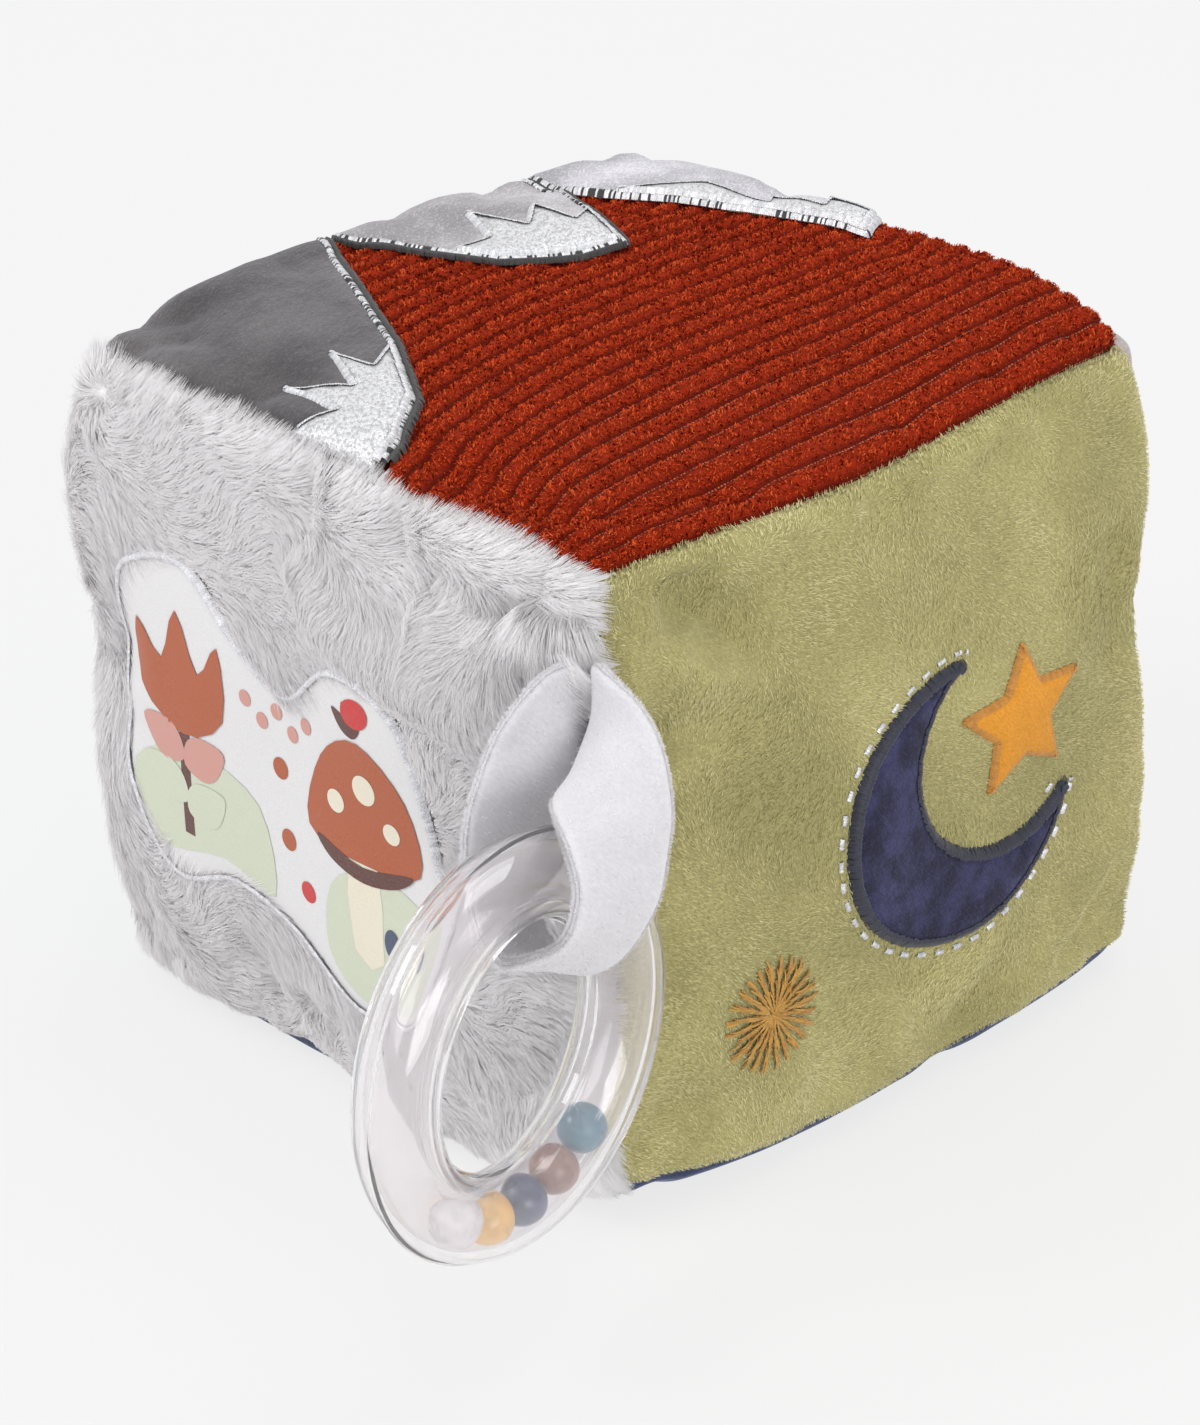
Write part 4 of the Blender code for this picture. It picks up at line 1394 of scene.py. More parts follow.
@dataclass
class PrintPatch:
    """The printed satin patch sewn on the fur."""

    edge: Shares = (
        (-0.80, 0.10), (-0.74, 0.42), (-0.50, 0.54), (-0.28, 0.36), (-0.10, 0.26),
        (0.10, 0.42), (0.34, 0.36), (0.46, 0.08), (0.50, -0.25), (0.40, -0.58),
        (0.12, -0.66), (-0.12, -0.50), (-0.36, -0.44), (-0.62, -0.52), (-0.78, -0.28),
    )
    lift: float = 0.0012
    thickness: float = 0.0007
    cell: float = 0.0015
    ink_lift: float = 0.00010
    ink_step: float = 0.00005

    def outline(self, form: BlockForm) -> Outline:
        """Return the patch's edge, anticlockwise."""
        turned = tuple(reversed(self.edge))
        return Outline.from_shares(turned, form.half_sizes(Face.FRONT), 6)

    def motifs(self) -> list[Motif]:
        """Return the printed shapes, the lowest first."""
        made = [
            Motif(SAGE, ((-0.76, -0.20), (-0.70, -0.44), (-0.40, -0.38), (-0.20, -0.42),
                         (-0.24, -0.14), (-0.50, -0.06))),
            Motif(SAGE, ((0.02, -0.50), (0.16, -0.62), (0.38, -0.54), (0.44, -0.24),
                         (0.24, -0.16), (0.06, -0.26))),
            Motif(BROWN, ((-0.56, -0.36), (-0.52, -0.36), (-0.50, 0.10), (-0.54, 0.10)), 1, 1),
            Motif(RUST, ((-0.68, 0.30), (-0.70, 0.08), (-0.53, -0.02), (-0.36, 0.08),
                         (-0.36, 0.32), (-0.45, 0.20), (-0.52, 0.38), (-0.60, 0.20)), 3, 2),
            Motif(CREAM, ((0.14, -0.44), (0.26, -0.44), (0.25, -0.08), (0.15, -0.08)), 2, 1),
            Motif(RUST, ((-0.02, -0.10), (0.20, -0.14), (0.42, -0.10), (0.38, 0.12),
                         (0.20, 0.24), (0.04, 0.14)), 4, 2),
            Motif(BROWN, ((0.02, -0.11), (0.20, -0.15), (0.39, -0.11), (0.33, -0.17),
                         (0.20, -0.20), (0.07, -0.17)), 4, 3),
            Motif(RED, oval(0.20, 0.33, 0.055, 0.045, 15), 4, 1),
            Motif(INK_BLUE, oval(0.30, -0.36, 0.03, 0.05, 0), 4, 2),
        ]
        for along, up, size in ((0.10, 0.02, 0.035), (0.22, 0.10, 0.045), (0.32, 0.0, 0.032)):
            made.append(Motif(CREAM, oval(along, up, size, size), 4, 3))
        for turn, up in ((35, -0.28), (150, -0.24), (30, -0.12), (155, -0.10)):
            shade_of = SAGE if up < -0.2 else PINK
            made.append(Motif(shade_of, leaf(-0.53, up, 0.19, 0.15, turn), 4, 2))
        for step in range(5):
            made.append(Motif(PINK, oval(-0.26 + 0.06 * step, 0.20 - 0.05 * (step % 2),
                                         0.022, 0.026)))
        for turn in (80, 110, 140):
            made.append(Motif(BROWN, leaf(0.19, 0.25, 0.11, 0.05, turn)))
        for along, up in ((-0.12, -0.20), (-0.05, -0.34), (-0.14, 0.02)):
            made.append(Motif(RED if up < -0.3 else RUST, oval(along, up, 0.030, 0.034)))
        return made

    def build(self, form: BlockForm) -> None:
        """Lay the patch, print it and sew its edge."""
        edge = self.outline(form)
        base = PrintedSatin("white print satin", "printed_satin", (0.76, 0.75, 0.76))
        SewnPatch(
            "print_patch", "front_print_patch", Face.FRONT, edge, base,
            self.thickness, self.lift, self.cell,
        ).build(form)
        halves = form.half_sizes(Face.FRONT)
        motifs = self.motifs()
        outlines = [Outline.from_shares(m.shares, halves, m.steps) for m in motifs]
        shape = fill_outlines(outlines, self.cell)
        part = shape.verts.layers.int["part"]
        owner = np.array([vert[part] for vert in shape.verts])
        mesh = new_mesh(shape, "print_ink")
        flat = points_of(mesh)[:, :2]
        layer = np.array([motif.layer for motif in motifs])[owner]
        ink = self.ink_lift + self.ink_step * layer
        height = self.lift + self.thickness * edge.hem_rise(flat, SewnPatch.edge_round) + ink
        place_points(mesh, form.lay(Face.FRONT, flat, height)[0])
        store_colour(mesh, "ink", np.array([motif.colour for motif in motifs])[owner])
        look = PrintedSatin("print ink", "printed_satin")
        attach(add_piece("print_ink", mesh, look.make()), "block")
        SatinStitch(
            "print_patch_stitch", Face.FRONT, (WHITE_THREAD,), "printed_satin",
            inner_lift=0.0020, outer_lift=0.0012, rise=0.0006, inside=0.0006, outside=0.0007,
        ).sew_round(form, edge)


# Right side


@dataclass
class NightMotifs:
    """The crescent moon, the star, the thread burst and the silver dashes."""

    moon_centre: tuple[float, float] = (0.20, -0.14)
    moon_radius: float = 0.42
    hollow_centre: tuple[float, float] = (0.37, -0.02)
    hollow_radius: float = 0.33
    star_centre: tuple[float, float] = (0.44, 0.03)
    star_radius: float = 0.23
    star_waist: float = 0.115
    burst_centre: tuple[float, float] = (-0.50, -0.52)
    burst_radius: float = 0.19

    def star(self, count: int) -> Shares:
        """Return the star's outline, anticlockwise."""
        found = []
        for step in range(2 * count):
            reach = self.star_waist if step % 2 else self.star_radius
            angle = math.pi / 2 + math.pi * step / count
            found.append(
                (
                    self.star_centre[0] + reach * math.cos(angle),
                    self.star_centre[1] + reach * math.sin(angle),
                )
            )
        return tuple(found)

    def moon(self, steps: int) -> Shares:
        """Return the crescent's outline, anticlockwise."""
        outer, hollow = Vector(self.moon_centre), Vector(self.hollow_centre)
        link = hollow - outer
        middle = math.atan2(link.y, link.x)
        big, small, gap = self.moon_radius, self.hollow_radius, link.length
        wide = math.acos((big**2 + gap**2 - small**2) / (2 * gap * big))
        narrow = math.acos((small**2 + gap**2 - big**2) / (2 * gap * small))
        found = []
        for step in range(2 * steps):
            angle = middle + wide + (2 * math.pi - 2 * wide) * step / (2 * steps)
            found.append(outer + big * Vector((math.cos(angle), math.sin(angle))))
        for step in range(steps):
            angle = middle + math.pi + narrow - 2 * narrow * step / steps
            found.append(hollow + small * Vector((math.cos(angle), math.sin(angle))))
        return tuple((point.x, point.y) for point in found)

    def outlines(self, form: BlockForm) -> list[Outline]:
        """Return the edges of the moon and the star."""
        halves = form.half_sizes(Face.RIGHT)
        return [Outline.from_shares(edge, halves) for edge in (self.moon(16), self.star(5))]

    def build(self, form: BlockForm) -> None:
        """Sew the motifs on the olive face."""
        halves = form.half_sizes(Face.RIGHT)
        moon, star = self.outlines(form)
        # The velour's strong light patches are partly painted highlights of its crushed pile.
        velour = PileCloth(
            "navy crushed velour", "navy_velour", (0.018, 0.018, 0.048), 0.5, 2.2, 0.006,
            sheen=0.25, tint=(0.7, 0.7, 1.0),
        )
        felt = PileCloth(
            "mustard felt cloth", "mustard_felt", (0.66, 0.27, 0.025), 0.9, 1.08,
            sheen=0.2, tint=(1.0, 0.9, 0.6), fleck=0.25,
        )
        SewnPatch(
            "moon_velour", "moon_applique", Face.RIGHT, moon, velour, 0.0013, 0.0002, 0.0013
        ).build(form)
        SewnPatch(
            "star_felt", "star_applique", Face.RIGHT, star, felt, 0.0012, 0.0002, 0.0010, 0.0006
        ).build(form)
        ink = (0.012, 0.014, 0.035)
        SatinStitch("moon_stitch", Face.RIGHT, (ink,), "navy_velour").sew_round(form, moon)
        SatinStitch(
            "star_stitch", Face.RIGHT, ((0.62, 0.25, 0.02),), "mustard_felt",
            inside=0.0008, outside=0.0004, inner_lift=0.0010, outer_lift=0.0001, rise=0.0003,
        ).sew_round(form, star)
        self.burst(form, halves)
        self.dashes(form, moon)

    def burst(self, form: BlockForm, halves: tuple[float, float]) -> None:
        """Sew the fan of gold thread."""
        chance = np.random.default_rng(12)
        count = 560
        centre = np.array(self.burst_centre) * np.array(halves)
        ray = np.arange(count) % 24
        angle = ray / 24 * 2 * math.pi + chance.normal(0, 0.03, count)
        reach = self.burst_radius * halves[0]
        start = reach * chance.uniform(0.12, 0.75, count)
        heading = np.stack([np.cos(angle), np.sin(angle)], axis=1)
        places = centre + heading * start[:, None]
        stitch = SatinStitch(
            "gold_burst", Face.RIGHT, ((0.62, 0.33, 0.05), (0.50, 0.24, 0.03)), "gold_thread",
            inside=0.0014, outside=0.0016, inner_lift=0.0003, outer_lift=0.0003,
            rise=0.0005, pitch=0.00027, metallic=0.15,
        )
        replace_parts(stitch.build(form, places, heading), "thread_burst")

    def dashes(self, form: BlockForm, moon: Outline) -> None:
        """Sew a row of small silver dashes round the moon's back."""
        places, outward = moon.walk(0.00042)
        centre = np.array(self.moon_centre) * np.array(form.half_sizes(Face.RIGHT))
        away = np.linalg.norm(places - centre, axis=1)
        back = away > self.moon_radius * form.seam_half_height * 0.97
        run = np.arange(len(places))
        chosen = np.flatnonzero(back & (run % 9 < 4))
        if not len(chosen):
            return
        stitch = SatinStitch(
            "silver_dashes", Face.RIGHT, (SILVER, WHITE_THREAD), "silver_satin",
            inside=0.0005, outside=0.0005, inner_lift=0.0001, outer_lift=0.0001,
            rise=0.0003, metallic=0.5,
        )
        stitch.build(form, places[chosen] + outward[chosen] * 0.0022, outward[chosen])


# Pile


SPARE_SEEDS = 1.8  # seeds tried for each fibre that is wanted
TABLE_SIDE = 400  # side of the table of random numbers that the locks read
ROOT_DEPTH = 0.0004  # how deep in the cloth the fibres start
FIBRE_FLOOR = 0.0008  # the least height of a fibre's middle and tip
BARE_RIM = 0.0006  # how far inside a bare outline fibres still grow


@dataclass
class PileCoat:
    """Pile that grows on one face and gathers in small locks."""

    name: str
    face: Face
    fibre: PileFibre
    length: float
    width: float
    count: int
    batches: int
    clump: float
    gather: float
    heading: float
    swirl: float
    swirl_size: float
    stand: tuple[float, float]
    spread: float
    lean: float
    push: tuple[tuple[float, float], tuple[float, float]] = ((0.0, 0.0), (0.0, 0.0))
    base_fade: float = 0.014
    bare: Sequence[Outline] = ()
    span: tuple[float, float, float, float] = (-0.997, 0.997, -0.997, 0.997)

    def ground(self, seeds: np.ndarray) -> tuple[np.ndarray, np.ndarray, np.ndarray]:
        """Return the shares along and up the face, and the lift, of each seed."""
        return seeds[:, 0], seeds[:, 1], np.zeros(len(seeds))

    def glow(self, seeds: np.ndarray) -> np.ndarray:
        """Return how much of its tip's colour each seed's fibre shows; less of it means more painted
        shade.
        """
        return np.ones(len(seeds))

    def grows(self, form: BlockForm, seeds: np.ndarray) -> np.ndarray:
        """Return which seeds lie clear of the bare outlines."""
        along, up, _ = self.ground(seeds)
        flat = np.stack([along, up], axis=1) * form.half_sizes(self.face)
        free = np.ones(len(seeds), bool)
        for outline in self.bare:
            free &= ~(outline.holds(flat) & (outline.distance(flat) > BARE_RIM))
        return free

    def flow(
        self, form: BlockForm, seeds: np.ndarray
    ) -> tuple[np.ndarray, np.ndarray, np.ndarray]:
        """Return roots, normals and the way that the pile lies at each seed."""
        along, up, lift = self.ground(seeds)
        points, normal, side, rise = form.skin(self.face, along, up)
        turn = math.radians(self.heading) + self.swirl * Ripple(self.swirl_size, 31).at(points)
        turn = turn + 0.12 * Ripple(0.008, 32).at(points)
        lie = np.cos(turn)[:, None] * side + np.sin(turn)[:, None] * rise
        halves = form.half_sizes(self.face)
        for share, half, axis, (low, high) in zip((along, up), halves, (side, rise), self.push):
            edge = np.maximum(1 - np.abs(share), 0) * half
            push = np.where(share > 0, high, -low) * np.exp(-edge / 0.007)
            lie = lie + push[:, None] * axis
        return points + normal * lift[:, None], normal, unit(lie)

    def strand_points(
        self,
        roots: np.ndarray,
        normal: np.ndarray,
        lie: np.ndarray,
        length: np.ndarray,
        raised: np.ndarray,
    ) -> tuple[np.ndarray, np.ndarray]:
        """Return the middles and tips of fibres that rise from their roots and bend over."""
        first = np.radians(self.stand[0] + 8 * raised)[:, None]
        second = np.radians(self.stand[1] + 12 * raised)[:, None]
        half = (length / 2)[:, None]
        middle = roots + half * (lie * np.cos(first) + normal * np.sin(first))
        tip = middle + half * (lie * np.cos(second) + normal * np.sin(second))
        return middle, tip

    def build_batch(self, form: BlockForm, number: int) -> bpy.types.Object:
        """Grow one batch of fibres, gathered in small locks.

        Args:
            form: The block's form.
            number: The batch's number.

        Returns:
            The batch as one piece.
        """
        chance = np.random.default_rng(40 + number)
        halves = np.array(form.half_sizes(self.face))
        low, high = self.span[::2], self.span[1::2]
        seeds = chance.uniform(low, high, (int(self.count * SPARE_SEEDS), 2))
        seeds = seeds[self.grows(form, seeds)][: self.count]
        count = len(seeds)
        shaken = seeds * halves + chance.normal(0, 0.25, (count, 2)) * self.clump
        cell = np.floor(shaken / self.clump).astype(int)
        known, owner = np.unique(cell, axis=0, return_inverse=True)
        owner = owner.ravel()
        shift = np.random.default_rng(77).uniform(0.15, 0.85, (TABLE_SIDE, TABLE_SIDE, 2))
        spot = (known + shift[known[:, 0] % TABLE_SIDE, known[:, 1] % TABLE_SIDE]) * self.clump
        lock_root, lock_normal, lock_lie = self.flow(form, (spot / halves).clip(-0.999, 0.999))
        mood = shift[known[:, 1] % TABLE_SIDE, known[:, 0] % TABLE_SIDE]
        lock_length = self.length * (0.85 + 0.4 * mood[:, 0])
        lock_length = lock_length * (0.4 + 0.6 * np.clip(lock_root[:, 2] / self.base_fade, 0, 1))
        lock_middle, lock_tip = self.strand_points(
            lock_root, lock_normal, lock_lie, lock_length, mood[:, 1] * 2 - 1
        )
        root, normal, lie = self.flow(form, seeds)
        length = self.length * chance.uniform(0.7, 1.15, count)
        length = length * (0.4 + 0.6 * np.clip(root[:, 2] / self.base_fade, 0, 1))
        raised = chance.normal(0, self.spread, count)
        middle, tip = self.strand_points(root, normal, lie, length, raised)
        hold = self.gather * chance.uniform(0.6, 1.2, count)[:, None]
        tip = tip + (lock_tip[owner] - tip) * hold
        middle = middle + (lock_middle[owner] - middle) * hold * 0.45
        root = root - normal * ROOT_DEPTH
        for stage in (middle, tip):
            stage[:, 2] = np.maximum(stage[:, 2], FIBRE_FLOOR)
        mesh = strand_mesh(f"{self.name}_{number}", count, 2, 1)
        strand, along, across = strand_rows(mesh)
        stages = np.stack([root, middle, tip], axis=1)
        level = np.rint(along * 2).astype(int)
        twist = chance.normal(0, 0.35, count)[:, None]
        cross = unit(np.cross(unit(tip - root), normal) + normal * twist)
        width = self.width * np.array([1.0, 0.85, 0.2])[level]
        centre = stages[strand, level]
        place_points(mesh, centre + cross[strand] * ((across - 0.5) * width)[:, None])
        along_face, up_face, _ = self.ground(seeds)
        relief = form.relief_normals(self.face, along_face, up_face)
        soft = unit(relief + self.lean * (tip - root) / self.length)
        mesh.normals_split_custom_set_from_vertices(soft[strand].astype(np.float32))
        # lit carries painted shade towards each fibre's root and, through glow, near the grooves;
        # tone picks strands for painted glints, partly at random.
        glow = self.glow(seeds)
        store(mesh, "lit", glow[strand] * along)
        store(mesh, "tone", (glow * np.clip(chance.normal(0.1, 0.35, count), 0, 1))[strand])
        piece = add_piece(mesh.name, mesh, self.fibre.make())
        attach(piece, "block")
        return piece

    def build(self, form: BlockForm) -> None:
        """Grow all the batches."""
        for number in range(self.batches):
            self.build_batch(form, number)


@dataclass
class RibbedCoat(PileCoat):
    """Short tufts on the corduroy's ribs, with the thread's lanes left open."""

    top: CorduroyTop = field(default_factory=CorduroyTop)
    lane: float = 0.12
    groove: float = 0.20

    def rib(self, seeds: np.ndarray) -> np.ndarray:
        """Return each seed's rib number."""
        return seeds[:, 0] * self.top.rib_rate - self.top.rib_slow

    def ground(self, seeds: np.ndarray) -> tuple[np.ndarray, np.ndarray, np.ndarray]:
        """Return the shares along and up the face, and the lift, of each seed."""
        rib = self.rib(seeds)
        along = self.top.along(self.top.across(rib), seeds[:, 1])
        return along, seeds[:, 1], self.top.rib_height * (self.top.rib_rise(rib) - 0.55)

    def glow(self, seeds: np.ndarray) -> np.ndarray:
        """Return less of the tip's colour near the grooves, most at the panel's left: painted shade
        in the grooves.
        """
        rib = self.rib(seeds)
        crest = np.clip((np.abs(rib - np.rint(rib)) - self.lane) / self.groove, 0.1, 1)
        left = np.clip(0.55 - seeds[:, 0], 0.35, 1)
        return 1 - left * (1 - crest)

    def grows(self, form: BlockForm, seeds: np.ndarray) -> np.ndarray:
        """Return which seeds lie clear of the thread's lanes and the peaks."""
        rib = self.rib(seeds)
        return super().grows(form, seeds) & (np.abs(rib - np.rint(rib)) > self.lane)


def grow_pile(form: BlockForm) -> None:
    """Grow the fur, the velour's nap and the corduroy's tufts."""
    fur = PileFibre()
    PileCoat(
        "fur", Face.FRONT, fur, length=0.0056, width=0.00016, count=48000, batches=4,
        clump=0.0024, gather=0.32, heading=-30, swirl=0.8, swirl_size=0.034, stand=(36, 2),
        spread=0.8, lean=0.15, push=((1.2, 1.0), (0.1, 1.8)),
        bare=(PrintPatch().outline(form),),
    ).build(form)
    PileCoat(
        "loop_root_fur", Face.FRONT, fur, length=0.0105, width=0.00017, count=5000, batches=1,
        clump=0.0022, gather=0.3, heading=-50, swirl=0.5, swirl_size=0.02, stand=(52, 14),
        spread=0.9, lean=0.15, push=((0.0, 0.5), (0.0, 0.0)), span=(0.84, 0.997, 0.42, 0.92),
    ).build(form)
    # The nap's root colour is painted shade at its roots, its bright colour painted glints, and its
    # broad patches painted light and shade of soft folds.
    nap = PileFibre(
        "olive nap", "olive_velour", (0.39, 0.352, 0.132), (0.62, 0.565, 0.255),
        (0.92, 0.85, 0.50), 0.25, 0.6, 0.1, 0.55,
    )
    PileCoat(
        "olive_nap", Face.RIGHT, nap, length=0.0011, width=0.00017, count=48000, batches=1,
        clump=0.0012, gather=0.5, heading=-65, swirl=0.7, swirl_size=0.04, stand=(26, 6),
        spread=0.8, lean=0.5, push=((0.5, 0.5), (0.5, 2.2)), bare=NightMotifs().outlines(form),
    ).build(form)
    # The tufts' root colour is painted shade at their roots and, through glow, in the grooves; their
    # bright colour is painted glints.
    tufts = PileFibre(
        "rust corduroy tuft", "rust_corduroy", (0.23, 0.014, 0.002), (0.60, 0.050, 0.009),
        (0.86, 0.17, 0.045), 0.15, 0.0, 0.04,
    )
    RibbedCoat(
        "corduroy_tufts", Face.TOP, tufts, length=0.00064, width=0.00026, count=48000,
        batches=1, clump=0.0007, gather=0.7, heading=-90, swirl=2.5, swirl_size=0.0022,
        stand=(66, 40), spread=1.2, lean=0.6, push=((1.0, 0.5), (0.8, 0.5)),
        bare=Peaks().outlines(form),
    ).build(form)


# Strap


@dataclass
class PlushLoop:
    """The folded white plush loop sewn into the front upright seam."""

    width: float = 0.019
    thickness: float = 0.0022
    root_height: float = 0.0985
    root_standoff: float = 0.00354
    reach: float = 0.0306
    spread: float = 0.014
    drop: float = 0.0276
    steps: int = 190
    across: int = 22
    fuzz_count: int = 20000
    fuzz_length: float = 0.0007
    fuzz_width: float = 0.00014
    route: Sequence[tuple[Colour, Colour]] = (
        ((0.00, 0.10, 0.00), (0.00, 0.00, 1.00)),
        ((0.20, 0.03, 0.04), (-0.10, 0.32, 0.94)),
        ((0.54, 0.22, -0.09), (-0.36, 0.88, 0.28)),
        ((0.85, 0.32, -0.28), (-0.55, 0.79, -0.28)),
        ((1.00, 0.31, -0.55), (-0.67, 0.56, -0.48)),
        ((0.95, 0.06, -0.86), (-0.73, 0.47, -0.49)),
        ((0.84, -0.39, -1.06), (-0.74, 0.44, -0.51)),
        ((0.70, -0.75, -1.11), (-0.81, 0.40, -0.42)),
        ((0.52, -1.00, -0.93), (-0.78, 0.50, -0.37)),
        ((0.37, -0.91, -0.59), (-0.59, 0.70, -0.40)),
        ((0.23, -0.68, -0.25), (-0.36, 0.66, -0.66)),
        ((0.11, -0.34, -0.02), (-0.05, 0.34, -0.94)),
        ((0.00, -0.10, 0.00), (0.00, 0.00, -1.00)),
    )

    def hinge(self, form: BlockForm) -> np.ndarray:
        """Return the middle of the line that the loop swings on."""
        corner = form.seam_half_width + self.root_standoff / math.sqrt(2)
        return np.array([corner, -corner, self.root_height])

    def place(self, form: BlockForm, share: np.ndarray, across: np.ndarray) -> np.ndarray:
        """Return points of the strap by their shares along and across it."""
        line = np.array([entry[0] for entry in self.route])
        aim = np.array([entry[1] for entry in self.route])
        count = len(line) - 1
        found = []
        for rows in (line, aim):
            full = np.concatenate([2 * rows[:1] - rows[1:2], rows, 2 * rows[-1:] - rows[-2:-1]])
            cell = np.clip(np.floor(share * count), 0, count - 1).astype(int)
            t = (share * count - cell)[:, None]
            a, b, c, d = (full[cell + k] for k in range(4))
            found.append(spline(a, b, c, d, t))
        middle, aim_at = found
        local = middle * np.array([self.reach, self.spread, self.drop])
        local = local + unit(aim_at) * (across * self.width / 2)[:, None]
        out = np.array([1, -1, 0]) / math.sqrt(2)
        side = np.array([1, 1, 0]) / math.sqrt(2)
        up = np.array([0, 0, 1])
        return (
            self.hinge(form)
            + local[:, :1] * out
            + local[:, 1:2] * side
            + local[:, 2:] * up
        )

    def build(self, form: BlockForm) -> bpy.types.Object:
        """Return the loop, laid along its route out of the seam and back, with its fuzz."""
        shape = bmesh.new()
        bmesh.ops.create_grid(shape, x_segments=self.steps, y_segments=self.across, size=1)
        bmesh.ops.solidify(shape, geom=shape.faces[:], thickness=0.5)
        mesh = new_mesh(shape, "plush_loop")
        flat = points_of(mesh)
        share, across = (flat[:, 0] + 1) / 2, np.sin(flat[:, 1] * math.pi / 2)
        layer = np.where(flat[:, 2] > flat[:, 2].mean(), 1.0, -1.0)
        points, _, _ = self.surface(form, np.clip(share, 0, 1), across, layer)
        place_points(mesh, points)
        plush = PileCloth(
            "white strap plush", "white_strap", (0.60, 0.59, 0.615), 0.97, 1.03, 0.02,
            0.0005, 0.00010, 0.15, (1, 1, 1), 0.10, glow=0.6,
        )
        loop = add_piece("plush_loop", mesh, plush.make())
        self.bend(loop)
        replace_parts(loop, "strap_loop", "strap_ends")
        self.bend(self.fuzz(form, plush.slot))
        return loop

    def bend(self, piece: bpy.types.Object) -> None:
        """Bake the piece's place into its mesh."""
        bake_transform(piece)

    def surface(
        self, form: BlockForm, share: np.ndarray, across: np.ndarray, layer: np.ndarray
    ) -> tuple[np.ndarray, np.ndarray, np.ndarray]:
        """Find places on the strap's skin.

        Args:
            form: The block's form.
            share: Shares along the strap.
            across: Shares across it.
            layer: 1 for its outer skin and -1 for its inner one.

        Returns:
            Points, the strap's normals, and the directions across it.
        """
        middle = self.place(form, share, across)
        ahead = self.place(form, np.clip(share + 0.002, 0, 1), across)
        behind = self.place(form, np.clip(share - 0.002, 0, 1), across)
        side = unit(self.place(form, share, across + 0.05) - middle)
        normal = unit(np.cross(ahead - behind, side))
        edge = np.clip((1 - np.abs(across)) * self.width / self.thickness, 0, 1)
        round_off = 0.35 + 0.65 * np.sqrt(1 - (1 - edge) ** 2)
        wave = 0.0002 * Ripple(0.014, 51).at(middle)
        lift = layer * self.thickness / 2 * round_off + wave
        return middle + normal * lift[:, None], normal, side

    def fuzz(self, form: BlockForm, slot: str) -> bpy.types.Object:
        """Return the short nap that stands on the strap."""
        chance = np.random.default_rng(52)
        count = self.fuzz_count
        mesh = strand_mesh("strap_fuzz", count, 1, 1)
        strand, along, across = strand_rows(mesh)
        layer = chance.choice((-1.0, 1.0), count)
        place = np.clip(chance.normal(0, 12, count), -1, 1)
        root, normal, side = self.surface(form, chance.uniform(0.03, 0.97, count), place, layer)
        rim = (np.abs(place) > 0.97)[:, None]
        facing = normal * layer[:, None]
        lean = facing + side * np.sign(place)[:, None] * rim * 1.5
        run = unit(unit(lean) + chance.normal(0, 0.45, (count, 3)))
        tip = root + run * (self.fuzz_length * chance.uniform(0.6, 1.2, count))[:, None]
        cross = unit(np.cross(run, facing))
        width = self.fuzz_width * (1 - 0.7 * along) * (across - 0.5)
        centre = root[strand] + (tip - root)[strand] * along[:, None]
        place_points(mesh, centre + cross[strand] * width[:, None])
        soft = unit(facing + 0.2 * lean)
        mesh.normals_split_custom_set_from_vertices(soft[strand].astype(np.float32))
        # lit paints shade on each fuzz fibre towards its root; tone lightens fibres at random, as
        # painted glints.
        store(mesh, "lit", along)
        store(mesh, "tone", chance.uniform(0, 0.3, count)[strand])
        nap = PileFibre("strap nap", slot, (0.90, 0.89, 0.91), (0.94, 0.93, 0.95), through=0.6)
        return add_piece("strap_fuzz", mesh, nap.make())


# Ring


